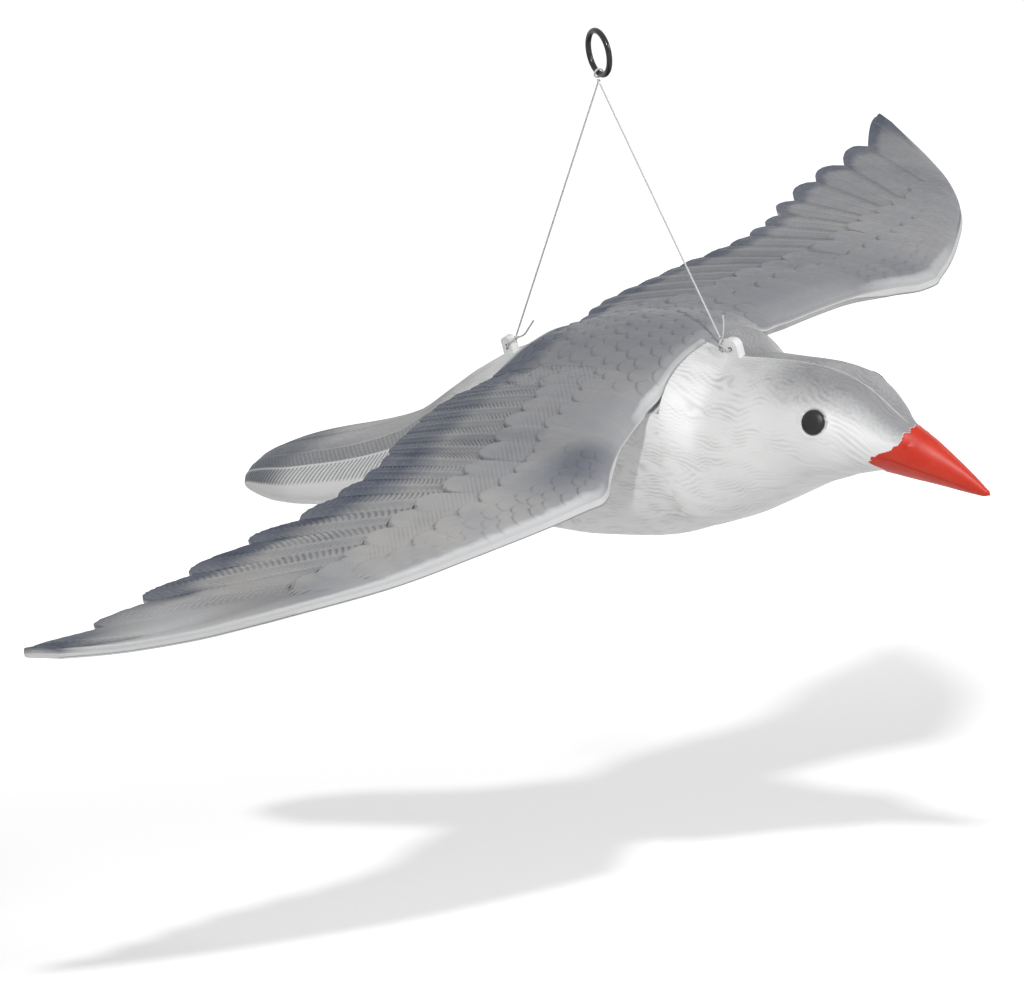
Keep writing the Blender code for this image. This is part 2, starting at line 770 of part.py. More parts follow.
def build_eyes(bird):
    black = material("eye_black", (0.01, 0.01, 0.012), 0.15)
    radius = EYE_DIAMETER / 2
    stem = EYE_STEM / 2
    base = -EYE_RECESS + FIT_GAP
    for name, side in (("eye_left", 1), ("eye_right", -1)):
        place = add_empty(f"{name}_axis", mirrored(eye_place(), side), bird)
        profile = [(0, -EYE_STEM_LENGTH), (stem * 0.6, -EYE_STEM_LENGTH), (stem, -EYE_STEM_LENGTH + stem)]
        profile += [(stem, base), (radius, base), (radius, 0.0)]
        for k in range(1, 5):
            turn = math.pi / 2 * k / 5
            profile.append((radius * math.cos(turn), EYE_HEIGHT * math.sin(turn)))
        profile.append((0, EYE_HEIGHT))
        bm = bmesh.new()
        add_lathe(bm, profile, 16, Matrix.Identity(4))
        add_object(name, mesh_from(name, bm), place, black)


# Wing set


def wing_grid():
    """Plan points of the wing set, line by line from the left tip to the right tip."""
    left = []
    for front, back, across in wing_lines():
        line = []
        for share in CHORD_SHARES:
            x = blend(front[0], back[0], share)
            y = blend(front[1], back[1], share)
            line.append((x, y, feather_relief(across, share)))
        left.append(line)
    right = [[(x, -y, relief) for x, y, relief in line] for line in reversed(left[:-1])]
    return left + right


def upper_faces(x, y, relief):
    """Top and underside heights of the upper shell over a plan point."""
    top = wing_top(x, y)
    underside = max(wing_parting(x, y) + FIT_GAP / 2, top - WING_WALL)
    return top + relief, underside


def lower_faces(x, y, relief):
    """Top and underside heights of the lower shell over a plan point."""
    underside = wing_bottom(x, y)
    return min(wing_parting(x, y) - FIT_GAP / 2, underside + WING_WALL), underside


def wing_shell_mesh(name, faces):
    bm = bmesh.new()
    grid = wing_grid()
    tops = []
    undersides = []
    for line in grid:
        heights = [faces(*point) for point in line]
        tops.append([bm.verts.new((p[0], p[1], h[0])) for p, h in zip(line, heights)])
        undersides.append([bm.verts.new((p[0], p[1], h[1])) for p, h in zip(line, heights)])
    for sheet in (tops, undersides):
        for one, two in zip(sheet, sheet[1:]):
            for k in range(len(one) - 1):
                bm.faces.new((one[k], one[k + 1], two[k + 1], two[k]))

    def outline(sheet):
        front = [line[0] for line in sheet]
        back = [line[-1] for line in sheet]
        return front + sheet[-1][1:-1] + back[::-1] + sheet[0][-2:0:-1]

    above = outline(tops)
    below = outline(undersides)
    for k in range(len(above)):
        after = (k + 1) % len(above)
        bm.faces.new((above[k], above[after], below[after], below[k]))
    return mesh_from(name, bm)


def wing_pegs(name, parent):
    """Four snap pegs under the saddle, for the holes in the body's recess."""
    bm = bmesh.new()
    for x in (PEG_FRONT, PEG_REAR):
        for side in (1, -1):
            root = wing_bottom(x, PEG_SIDE)
            floor = seat_height(x, PEG_SIDE + PEG_BARB / 2) - BODY_WALL
            place = Matrix.Translation((x, side * PEG_SIDE, 0))
            stem = PEG_DIAMETER / 2
            barb = floor - PEG_PLAY
            profile = (
                (0, root + WING_WALL / 2),
                (stem, root + WING_WALL / 2),
                (stem, barb),
                (PEG_BARB / 2, barb),
                (stem * 0.6, barb - PEG_TIP),
                (0, barb - PEG_TIP),
            )
            add_lathe(bm, profile, 12, place)
    return as_tool(add_object(name, mesh_from(name, bm), parent))


def build_wings(bird):
    grey = material("wing_grey", (0.27, 0.28, 0.30), 0.5)
    white = material("wing_white", (0.78, 0.79, 0.79), 0.5)
    add_object("wing_shell_upper", wing_shell_mesh("wing_shell_upper", upper_faces), bird, grey)
    lower = add_object("wing_shell_lower", wing_shell_mesh("wing_shell_lower", lower_faces), bird, white)
    boolean(lower, wing_pegs("wing_pegs", bird), "UNION")


# Ring and bridle


def ring_radius():
    return (RING_OUTER - RING_WIRE) / 2


def wire_bottom():
    """Middle of the ring's wire at its lowest point, in the world."""
    inner = ring_radius() - RING_WIRE / 2
    return Vector((0, 0, -inner - ring_radius()))


def loop_radius():
    return RING_WIRE / 2 + FIT_GAP + CORD / 2


def knot_middle():
    return wire_bottom() - Vector((0, 0, loop_radius() + CORD / 2 + FIT_GAP + BRIDLE_KNOT / 2))


def bird_place():
    """The bird's frame in the world: nose up by the hang angle, with the knot at its apex."""
    turn = Matrix.Rotation(-HANG_PITCH, 4, "Y")
    apex = turn @ Vector((APEX_FORWARD, 0, APEX_HEIGHT))
    return Matrix.Translation(knot_middle() - apex) @ turn


def torus_mesh(name, major, minor, around, sides, axis):
    bm = bmesh.new()
    turn = Vector((0, 0, 1)).rotation_difference(axis).to_matrix()
    points = []
    for k in range(around):
        angle = 2 * math.pi * k / around
        points.append(turn @ Vector((major * math.cos(angle), major * math.sin(angle), 0)))
    add_tube(bm, points, minor, sides, closed=True)
    return mesh_from(name, bm, 60)


def ball_mesh(name, radius):
    bm = bmesh.new()
    bmesh.ops.create_uvsphere(bm, u_segments=10, v_segments=6, radius=radius)
    return mesh_from(name, bm, 60)


def lug_knot_offset(length, ahead):
    """Middle of a lug's knot, seen from the lug's hole."""
    reach = length / 2 + FIT_GAP + LUG_KNOT / 2
    return Vector((ahead * reach, 0, LUG_TOP - LUG_KNOT / 2))


def build_lug_knot(name, hole, length, ahead, way, tail_length, bird, white):
    """A knot beside its lug, with the cord's eye through the lug's hole and its loose end."""
    knot = lug_knot_offset(length, ahead)
    face = LUG_THICKNESS / 2 + FIT_GAP + CORD / 2
    clear = LUG_HOLE / 2 - CORD / 2 - FIT_GAP
    half = [
        knot + Vector((0, 0.0003, 0)),
        Vector((ahead * (length / 2 + 0.0005), face * 0.90, knot.z - 0.0006)),
        Vector((ahead * length / 2 * 0.72, face + 0.0002, knot.z * 0.62)),
        Vector((ahead * 0.0011, face, 0.0006)),
        Vector((ahead * clear * 0.3, face * 0.80, 0.0001)),
        Vector((0, 0, -0.0001)),
    ]
    other = [Vector((p.x, -p.y, p.z)) for p in reversed(half[:-1])]
    origin = add_empty(f"{name}_hole", Matrix.Translation(hole), bird)
    ball = add_object(name, ball_mesh(name, LUG_KNOT / 2), origin, white)
    ball.location = knot
    bm = bmesh.new()
    add_tube(bm, rounded_path(half + other, 3), CORD / 2, 6)
    eye = as_tool(add_object(f"{name}_eye", mesh_from(f"{name}_eye", bm, 60), origin))
    start = knot + Vector((LUG_KNOT * 0.3, 0, 0))
    path = [start + Vector((along, 0, up)) * tail_length for along, up in way]
    bm = bmesh.new()
    add_tube(bm, rounded_path(path, 2), CORD / 2, 6)
    loose = as_tool(add_object(f"{name}_loose_end", mesh_from(f"{name}_loose_end", bm, 60), origin))
    boolean(ball, eye, "UNION")
    boolean(ball, loose, "UNION")
    return hole + knot


def add_leg(name, start, end, white):
    """One taut leg of the bridle, from the knot under the ring to a lug's knot."""
    along = (end - start).normalized()
    first = start + along * (BRIDLE_KNOT / 2 + FIT_GAP)
    last = end - along * (LUG_KNOT / 2 + FIT_GAP)
    curve = bpy.data.curves.new(name, "CURVE")
    curve.dimensions = "3D"
    curve.bevel_depth = CORD / 2
    curve.bevel_resolution = 2
    curve.use_fill_caps = True
    curve.resolution_u = 1
    spline = curve.splines.new("POLY")
    count = 5
    spline.points.add(count - 1)
    for k, point in enumerate(spline.points):
        point.co = (*first.lerp(last, k / (count - 1)), 1.0)
    add_object(name, curve, None, white)


def build_bridle(bird):
    white = material("cord_white", (0.85, 0.85, 0.83), 0.7)
    black = material("ring_black", (0.012, 0.012, 0.013), 0.25)
    turned = Matrix.Rotation(RING_TURN, 4, "Z")
    middle = Vector((0, 0, -(ring_radius() - RING_WIRE / 2)))
    ring_place = add_empty("ring_middle", Matrix.Translation(middle) @ turned)
    ring = torus_mesh("hanging_ring", ring_radius(), RING_WIRE / 2, 32, 10, Vector((0, 1, 0)))
    add_object("hanging_ring", ring, ring_place, black)
    loop_place = add_empty("wire_bottom", Matrix.Translation(wire_bottom()) @ turned)
    loop = torus_mesh("bridle_loop", loop_radius(), CORD / 2, 16, 8, Vector((1, 0, 0)))
    add_object("bridle_loop", loop, loop_place, white)
    knot = add_object("bridle_knot", ball_mesh("bridle_knot", BRIDLE_KNOT / 2), None, white)
    knot.location = knot_middle()
    front = build_lug_knot(
        "lug_knot_front",
        Vector((LUG_SPACING, 0, 0)),
        FRONT_LUG_LENGTH,
        -1,
        FRONT_TAIL_WAY,
        FRONT_TAIL_LENGTH,
        bird,
        white,
    )
    rear = build_lug_knot(
        "lug_knot_rear", Vector((0, 0, 0)), REAR_LUG_LENGTH, 1, REAR_TAIL_WAY, REAR_TAIL_LENGTH, bird, white
    )
    add_leg("bridle_leg_front", knot_middle(), bird_place() @ front, white)
    add_leg("bridle_leg_rear", knot_middle(), bird_place() @ rear, white)


def main():
    remove_everything()
    bird = add_empty("bird_frame", bird_place())
    build_body(bird)
    build_eyes(bird)
    build_wings(bird)
    build_bridle(bird)
    bpy.context.view_layer.update()


main()
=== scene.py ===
import math

import bpy
import numpy as np
from mathutils import Matrix, Vector


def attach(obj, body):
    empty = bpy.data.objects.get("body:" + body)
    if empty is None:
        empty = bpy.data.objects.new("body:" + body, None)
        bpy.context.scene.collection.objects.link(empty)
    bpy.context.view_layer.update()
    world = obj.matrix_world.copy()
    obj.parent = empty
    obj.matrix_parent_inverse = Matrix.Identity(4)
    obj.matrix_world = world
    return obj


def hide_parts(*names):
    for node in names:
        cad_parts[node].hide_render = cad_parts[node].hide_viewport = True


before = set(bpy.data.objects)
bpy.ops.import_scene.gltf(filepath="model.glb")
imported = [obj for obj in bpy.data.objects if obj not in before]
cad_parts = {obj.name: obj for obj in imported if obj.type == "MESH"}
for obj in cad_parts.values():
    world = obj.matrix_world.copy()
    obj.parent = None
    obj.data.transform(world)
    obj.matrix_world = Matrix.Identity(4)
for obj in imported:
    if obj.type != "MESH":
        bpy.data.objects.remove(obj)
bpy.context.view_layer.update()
print("frame loaded")

# Where things hang, in millimetres. The bird's own frame starts at the rear lug's hole,
# with x towards the beak, y to the bird's left and z up.
hang = {
    "pitch": 17.8,  # degrees nose up
    "knotBelow": 20.3,  # from the hook's contact down to the middle of the knot
    "apexForward": 83.8,  # the knot, seen from the rear lug's hole
    "apexHeight": 115.0,
    "ringTurn": -25.0,  # degrees about the vertical
}

cosPitch = math.cos(math.radians(hang["pitch"]))
sinPitch = math.sin(math.radians(hang["pitch"]))
birdX = -(hang["apexForward"] * cosPitch - hang["apexHeight"] * sinPitch)
birdZ = -hang["knotBelow"] - (hang["apexForward"] * sinPitch + hang["apexHeight"] * cosPitch)


def toWorld(points):  # bird millimetres to metres of the row frame
    p = np.asarray(points, dtype=float)
    x = p[..., 0] * cosPitch - p[..., 2] * sinPitch + birdX
    z = p[..., 0] * sinPitch + p[..., 2] * cosPitch + birdZ
    return np.stack((x, p[..., 1], z), axis=-1) / 1000

# Node trees


class Wiring:
    # Short ways to chain the nodes of one material or geometry tree.
    def __init__(self, tree):
        self.tree = tree

    def put(self, socket, value):
        if isinstance(value, bpy.types.NodeSocket):
            self.tree.links.new(value, socket)
        else:
            socket.default_value = (*value, 1) if isinstance(value, tuple) else value

    def node(self, kind, outlet=0, inlets=None, **settings):  # gives one output of the new node
        node = self.tree.nodes.new(kind)
        for key, value in settings.items():
            setattr(node, key, value)
        for key, value in (inlets or {}).items():
            self.put(node.inputs[key], value)
        return node.outputs[outlet]

    def maths(self, operation, a, b=0.0, clamp=False):
        return self.node("ShaderNodeMath", 0, {0: a, 1: b}, operation=operation, use_clamp=clamp)

    def vectorMaths(self, operation, outlet, inlets):
        return self.node("ShaderNodeVectorMath", outlet, inlets, operation=operation)

    # for materials
    def attribute(self, name):
        return self.node("ShaderNodeAttribute", "Fac", attribute_name=name)

    def coordinates(self):
        return self.node("ShaderNodeTexCoord", "Object")

    def noise(self, scale, detail):
        inlets = {"Scale": scale, "Detail": detail, "Roughness": 0.55, "Vector": self.coordinates()}
        return self.node("ShaderNodeTexNoise", "Fac", inlets)

    def range(self, value, low, high, outLow=0.0, outHigh=1.0):
        inlets = {"Value": value, "From Min": low, "From Max": high, "To Min": outLow, "To Max": outHigh}
        return self.node("ShaderNodeMapRange", 0, inlets, interpolation_type="SMOOTHSTEP")

    def mix(self, share, a, b):
        return self.node("ShaderNodeMix", "Result", {"Factor": share, "A": a, "B": b}, data_type="RGBA")

    def multiply(self, a, b):
        return self.maths("MULTIPLY", a, b, True)

    def seenDirectly(self):  # 1 for camera, glossy and transmission rays
        path = self.tree.nodes.new("ShaderNodeLightPath").outputs
        both = self.maths("MAXIMUM", path["Is Camera Ray"], path["Is Glossy Ray"])
        return self.maths("MAXIMUM", both, path["Is Transmission Ray"])

    # for geometry
    def named(self, name):
        return self.node("GeometryNodeInputNamedAttribute", "Attribute", {"Name": name}, data_type="FLOAT")

    def circle(self, sides, radius):
        inlets = {"Resolution": sides, "Radius": radius}
        return self.node("GeometryNodeCurvePrimitiveCircle", "Curve", inlets)


def newPaint(name, colour, roughness, specular=0.35):
    material = bpy.data.materials.new(name)
    material.use_nodes = True
    w = Wiring(material.node_tree)
    shader = material.node_tree.nodes["Principled BSDF"]
    w.put(shader.inputs["Base Color"], colour)
    w.put(shader.inputs["Roughness"], roughness)
    w.put(shader.inputs["Specular IOR Level"], specular)
    return material, w, shader


# Camera, stage and lights

shot = {
    "azimuth": 37.54,
    "elevation": 29.88,
    "distance": 3.0,
    "lens": 253.2,
    "aim": (-20.4, 0.0, -66.9),  # bird millimetres
}

studio = {
    "floorHeight": -0.4015,  # under the hook
    "floorSlope": (0.372, -0.264),  # a ramp that catches the shadow where the photo has it
    "floorSize": 14.0,
    "floorColour": (0.94, 0.94, 0.94),
    "floorGlow": 0.43,  # plain white that the camera sees on top of the floor's own shade
    "farGlow": 0.45,  # more of it behind the shadow
    "farFrom": 0.30,  # metres behind the bird where that starts, and where it is full
    "farTo": 1.5,
    "skyStrength": 0.20,
}

# turn is in degrees to the right of the camera, tilt above the horizon, the rest metres and watts
lights = {
    "key": {"turn": -1.4, "tilt": 58.0, "distance": 4.0, "size": 0.24, "power": 91.0},
    "side": {"turn": 84.0, "tilt": 36.0, "distance": 6.0, "size": 1.6, "power": 120.0},
}


def direction(azimuth, elevation):
    a = math.radians(azimuth)
    e = math.radians(elevation)
    return Vector((math.sin(a) * math.cos(e), -math.cos(a) * math.cos(e), math.sin(e)))


def addLooking(name, data, aim, back, distance):  # a camera or light that looks at the aim
    obj = bpy.data.objects.new(name, data)
    obj.location = aim + back * distance
    obj.rotation_mode = "QUATERNION"
    obj.rotation_quaternion = (-back).to_track_quat("-Z", "Y")
    bpy.context.scene.collection.objects.link(obj)
    return obj


def makeStage(aim, back):
    material, w, shader = newPaint("pale floor", studio["floorColour"], 0.9, 0.0)
    behind = w.vectorMaths("DOT_PRODUCT", "Value", {0: w.coordinates(), 1: -back})
    start = -aim.dot(back)
    full = studio["floorGlow"] + studio["farGlow"]
    shine = w.range(behind, start + studio["farFrom"], start + studio["farTo"], studio["floorGlow"], full)
    glow = w.node("ShaderNodeEmission", 0, {"Strength": w.maths("MULTIPLY", w.seenDirectly(), shine)})
    both = w.node("ShaderNodeAddShader", 0, {0: shader.outputs[0], 1: glow})
    # seen from below, the ramp lets the view through
    below = w.node("ShaderNodeNewGeometry", "Backfacing")
    sides = {0: below, 1: both, 2: w.node("ShaderNodeBsdfTransparent")}
    w.put(w.tree.nodes["Material Output"].inputs["Surface"], w.node("ShaderNodeMixShader", 0, sides))
    half = studio["floorSize"] / 2
    slopeX, slopeY = studio["floorSlope"]
    corners = []
    for x, y in ((-half, -half), (half, -half), (half, half), (-half, half)):
        corners.append((x, y, studio["floorHeight"] + slopeX * x + slopeY * y))
    mesh = bpy.data.meshes.new("floor")
    mesh.from_pydata(corners, [], [(0, 1, 2, 3)])
    mesh.materials.append(material)
    floor = bpy.data.objects.new("floor", mesh)
    bpy.context.scene.collection.objects.link(floor)


def makeSky():  # the camera sees plain white, and the objects get a soft share of it
    white = (1, 1, 1)
    world = bpy.data.worlds.new("soft studio")
    world.use_nodes = True
    w = Wiring(world.node_tree)
    soft = w.tree.nodes["Background"]
    w.put(soft.inputs["Strength"], studio["skyStrength"])
    w.put(soft.inputs["Color"], white)
    sides = {0: w.seenDirectly(), 1: soft.outputs[0], 2: w.node("ShaderNodeBackground", 0, {"Color": white})}
    w.put(w.tree.nodes["World Output"].inputs["Surface"], w.node("ShaderNodeMixShader", 0, sides))
    bpy.context.scene.world = world


def makeSet():
    aim = Vector(toWorld(shot["aim"]))
    back = direction(shot["azimuth"], shot["elevation"])
    lens = bpy.data.cameras.new("camera")
    lens.lens = shot["lens"]
    lens.sensor_width = 36
    lens.clip_end = 50
    bpy.context.scene.camera = addLooking("camera", lens, aim, back, shot["distance"])
    makeStage(aim, back)
    makeSky()
    for name, light in lights.items():
        lamp = bpy.data.lights.new(name, "AREA")
        lamp.shape = "DISK"
        lamp.size = light["size"]
        lamp.energy = light["power"]
        back = direction(shot["azimuth"] + light["turn"], light["tilt"])
        addLooking(name, lamp, aim, back, light["distance"])


makeSet()
bpy.context.scene.view_settings.view_transform = "Standard"
print("camera and stage ready")

# Shapes shared by the body and the wing set, in bird millimetres


def curveThrough(knots, at, column):  # shape-keeping curve through one column of knots
    knots = np.asarray(knots, dtype=float)
    x = knots[:, 0]
    y = knots[:, column]
    run = np.diff(x)
    rise = np.diff(y) / run
    product = rise[:-1] * rise[1:]
    total = np.where(np.abs(rise[:-1] + rise[1:]) < 1e-12, 1.0, rise[:-1] + rise[1:])
    inner = np.where(product > 0, 2 * product / total, 0.0)
    slope = np.concatenate(([rise[0]], inner, [rise[-1]]))
    at = np.clip(np.asarray(at, dtype=float), x[0], x[-1])
    i = np.clip(np.searchsorted(x, at, side="right") - 1, 0, len(x) - 2)
    t = (at - x[i]) / run[i]
    return (
        y[i] * (2 * t**3 - 3 * t**2 + 1)
        + slope[i] * run[i] * (t**3 - 2 * t**2 + t)
        + y[i + 1] * (3 * t**2 - 2 * t**3)
        + slope[i + 1] * run[i] * (t**3 - t**2)
    )


def ease(t):
    t = np.clip(t, 0.0, 1.0)
    return t * t * (3 - 2 * t)


def ramp(value, start, end):  # 0 before start, 1 after end
    return ease((value - start) / (end - start))


def fade(value, start, end):  # 1 before start, 0 after end
    return 1 - ramp(value, start, end)


def bell(value, width):
    return np.exp(-((value / width) ** 2))


def blend(a, b, t):
    return a + (b - a) * t


def blob(x, y, middleX, middleY, alongX, alongY):
    return np.exp(-(((x - middleX) / alongX) ** 2) - ((y - middleY) / alongY) ** 2)


def smoothMax(a, b, rounding):
    return (a + b + np.sqrt((a - b) ** 2 + rounding**2)) / 2


# top x and z, bottom x and z, half width, squareness, narrowing towards the top
bodyRibs = (
    (-168.0, -62.4, -168.0, -67.0, 4.2, 2.0, 0.0),
    (-163.0, -57.2, -163.0, -67.7, 9.2, 2.1, 0.0),
    (-155.0, -51.7, -155.0, -68.8, 14.6, 2.2, 0.0),
    (-140.0, -46.5, -140.0, -70.2, 21.6, 2.2, 0.0),
    (-120.0, -43.0, -120.0, -69.8, 27.0, 2.2, 0.0),
    (-90.0, -38.2, -90.0, -69.4, 28.0, 2.2, 0.0),
    (-60.0, -30.2, -60.0, -70.4, 29.5, 2.2, 0.0),
    (-38.0, -19.5, -38.0, -71.5, 32.0, 2.2, 0.0),
    (-20.0, -10.5, -20.0, -72.6, 35.0, 2.3, 0.0),
    (0.0, -3.1, 0.0, -73.6, 38.5, 2.4, 0.0),
    (20.0, 0.2, 20.0, -75.0, 41.0, 2.5, 0.0),
    (45.0, 5.2, 45.0, -77.0, 43.4, 2.5, 0.0),
    (65.0, 7.0, 65.0, -77.0, 44.0, 2.5, 0.0),
    (85.0, 6.0, 85.0, -75.4, 44.0, 2.6, 0.0),
    (105.0, 2.6, 105.0, -71.0, 43.4, 2.6, 0.0),
    (120.0, -3.2, 120.0, -68.4, 38.0, 2.3, 0.37),
    (135.0, -4.1, 135.0, -63.5, 33.4, 2.2, 0.31),
    (150.0, -5.2, 149.0, -58.4, 28.5, 2.1, 0.22),
    (163.0, -7.2, 159.0, -54.8, 26.4, 2.1, 0.13),
    (174.0, -10.8, 166.0, -53.1, 24.5, 2.15, 0.1),
    (184.0, -16.8, 173.0, -51.5, 20.7, 2.1, 0.09),
    (192.0, -24.6, 178.0, -50.9, 16.5, 2.05, 0.09),
    (198.0, -30.6, 182.5, -50.8, 11.9, 1.9, 0.08),
    (202.0, -33.6, 187.0, -52.0, 10.2, 1.8, 0.05),
    (209.5, -39.2, 197.0, -54.6, 8.6, 1.7, 0.0),
    (219.0, -47.6, 209.5, -57.6, 5.5, 1.7, 0.0),
    (226.5, -55.2, 220.0, -60.2, 3.0, 1.7, 0.0),
    (230.0, -59.4, 227.5, -61.8, 1.5, 1.8, 0.0),
)
tailEnd = (-169.0, -64.8)
beakTip = (230.8, -61.4)

# distance out, x and height of the leading edge, then of the trailing edge
leading = (
    (0.0, 105.0, -8.0),
    (43.0, 105.0, -8.5),
    (50.0, 108.0, -8.9),
    (60.0, 111.5, -9.2),
    (81.0, 118.7, -10.7),
    (97.0, 126.0, -13.4),
    (108.0, 132.2, -15.8),
    (114.5, 134.2, -16.0),
    (120.0, 132.0, -16.0),
    (135.0, 125.8, -16.4),
    (163.0, 110.6, -17.3),
    (194.0, 90.2, -18.5),
    (222.0, 65.3, -18.2),
    (244.0, 42.0, -18.2),
    (264.0, 17.7, -16.7),
    (280.0, -4.5, -13.5),
    (285.5, -13.0, -11.8),
    (287.0, -17.0, -11.0),
)
trailing = (
    (0.0, 15.0, -4.5),
    (22.0, 14.0, -4.5),
    (34.0, 10.0, -4.4),
    (50.0, 6.0, -4.2),
    (68.0, 6.5, -4.7),
    (90.0, 13.0, -4.9),
    (112.0, 22.0, -4.4),
    (124.0, 25.0, -4.7),
    (138.0, 24.0, -5.4),
    (155.0, 18.5, -7.4),
    (179.0, 7.0, -9.4),
    (204.0, -2.0, -11.2),
    (229.0, -8.0, -12.5),
    (254.0, -12.5, -13.2),
    (285.0, -20.0, -10.9),
    (287.0, -20.5, -10.8),
)

# feather tip x and y, inner notch x and y, start of the notch's line on the leading edge
feathers = (
    (-20.5, 284.5, -4.5, 257.5, 194.0),
    (-12.3, 252.0, 1.0, 233.0, 158.0),
    (-9.0, 227.5, 2.3, 211.0, 147.5),
    (-2.8, 201.5, 11.3, 184.0, 140.0),
    (6.5, 176.0, 20.0, 164.0, 134.0),
    (17.7, 155.0, 25.3, 145.5, 128.0),
    (23.2, 138.2, 27.3, 131.0, 121.5),
    (24.4, 124.1, 25.6, 118.5, 114.5),
    (21.8, 111.6, 20.5, 105.5, 101.0),
    (16.8, 101.5, 15.0, 95.5, 91.0),
    (13.0, 90.8, 12.0, 84.5, 80.0),
    (10.4, 79.0, 9.5, 73.0, 69.0),
    (7.0, 68.2, 7.4, 62.0, 59.0),
    (5.8, 56.0, 7.8, 50.5, 50.0),
    (7.0, 45.0, 10.0, 40.0, 43.0),
    (10.5, 34.0, 13.3, 28.5, 33.0),
)

wing = {
    "saddleFront": 105.0,
    "saddleRear": 15.0,
    "seatDepth": 6.0,
    "seatGap": 0.5,
    "proudFront": 0.5,
    "proudRear": 2.9,
    "saddleRamp": 30.0,
    "saddleParting": 1.3,
    "valleyRounding": 4.0,
    "camber": 9.0,
    "tipCamber": 1.5,
    "camberPeak": 2.6,  # brings the camber curve's highest point to 1
    "edgeAbove": 1.1,
    "leadingBand": 4.4,
    "tipBand": 2.3,
    "trailingBelow": 1.4,
    "halfSpan": 287.0,
    "partingGap": 0.02,
    "wall": 1.5,
    "barbPitch": 2.0,  # of the barb phase, which the paint and the relief share
    "columns": 236,  # of the fine mesh, from the leading to the trailing edge
    "saddleLines": 38,
    "coarseColumns": 12,
    "lowerColumns": 110,
}


def bodyRib(station):  # one rib at a station along the body
    station = np.asarray(station, dtype=float)
    low = np.where(station < bodyRibs[0][0], station, curveThrough(bodyRibs, station, 2))
    high = curveThrough(bodyRibs, station, 1)
    return station, high, low, *(curveThrough(bodyRibs, station, column) for column in (3, 4, 5, 6))


def backHeight(x, y):
    _, topZ, _, lowZ, half, square, _ = bodyRib(x)
    share = np.minimum(np.abs(y) / half, 1.0)
    return (topZ + lowZ) / 2 + (topZ - lowZ) / 2 * (1 - share**square) ** (1 / square)


def chordShare(x, y):
    out = np.abs(y)
    front = curveThrough(leading, out, 1)
    rear = curveThrough(trailing, out, 1)
    return np.clip((front - x) / (front - rear), 0.0, 1.0)


def partingHeight(x, y):
    out = np.abs(y)
    return blend(curveThrough(leading, out, 2), curveThrough(trailing, out, 2), chordShare(x, y))


def proud(x):
    span = wing["saddleFront"] - wing["saddleRear"]
    return blend(wing["proudRear"], wing["proudFront"], ease((x - wing["saddleRear"]) / span))


def wingTop(x, y):
    share = chordShare(x, y)
    camber = blend(wing["camber"], wing["tipCamber"], ease(np.abs(y) / wing["halfSpan"]))
    lift = wing["edgeAbove"] + camber * wing["camberPeak"] * np.sqrt(share) * (1 - share)
    return smoothMax(partingHeight(x, y) + lift, backHeight(x, y) + proud(x), wing["valleyRounding"])


def wingParting(x, y):
    inner = backHeight(x, y) + proud(x) - wing["saddleParting"]
    return smoothMax(partingHeight(x, y), inner, wing["valleyRounding"])


def wingBottom(x, y):
    share = chordShare(x, y)
    tipward = ease(np.abs(y) / wing["halfSpan"])
    drop = blend(blend(wing["leadingBand"], wing["tipBand"], tipward), wing["trailingBelow"], share)
    rest = blend(-wing["seatGap"], wing["seatDepth"], ease((x - wing["saddleRear"]) / wing["saddleRamp"]))
    return smoothMax(partingHeight(x, y) - drop, backHeight(x, y) - rest, wing["valleyRounding"])


def seatHeight(x, y):
    return wingBottom(np.minimum(x, wing["saddleFront"]), y) - wing["seatGap"]


# Mesh helpers


def addMesh(name, points, faces, materials, attributes, faceSlots=None):
    mesh = bpy.data.meshes.new(name)
    mesh.from_pydata([tuple(p) for p in points], [], faces)
    for key, values in attributes.items():
        layer = mesh.attributes.new(key, "FLOAT", "POINT")
        layer.data.foreach_set("value", np.asarray(values, dtype=np.float32))
    for material in materials:
        mesh.materials.append(material)
    if faceSlots is not None:
        mesh.polygons.foreach_set("material_index", np.asarray(faceSlots, dtype=np.int32))
    mesh.shade_smooth()
    mesh.update()
    facesOutward(mesh)
    obj = bpy.data.objects.new(name, mesh)
    bpy.context.scene.collection.objects.link(obj)
    return obj


def facesOutward(mesh):
    # turns the whole mesh when its signed volume says that it is inside out
    mesh.calc_loop_triangles()
    corners = np.empty(len(mesh.loop_triangles) * 3, dtype=np.int32)
    mesh.loop_triangles.foreach_get("vertices", corners)
    places = np.empty(len(mesh.vertices) * 3, dtype=np.float32)
    mesh.vertices.foreach_get("co", places)
    places = places.reshape(-1, 3).astype(float)
    a, b, c = (places[corners[k::3]] for k in range(3))
    if (a * np.cross(b, c)).sum() < 0:
        mesh.flip_normals()


def gridFaces(rows, columns, start=0, flip=False):
    i, j = np.meshgrid(np.arange(rows - 1), np.arange(columns - 1), indexing="ij")
    a = start + i * columns + j
    quads = np.stack((a, a + 1, a + columns + 1, a + columns), axis=-1).reshape(-1, 4)
    if flip:
        quads = quads[:, ::-1]
    return [tuple(q) for q in quads.tolist()]


def aroundCircle(steps):
    return [2 * math.pi * k / steps for k in range(steps)]


def settle(piece, body, slot, *nodes, sharp=None):
    # says what the piece moves with and which CAD nodes it stands for; slot is not used
    if sharp is not None:
        piece.data.set_sharp_from_angle(angle=math.radians(sharp))
    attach(piece, body)
    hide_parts(*nodes)


# Materials

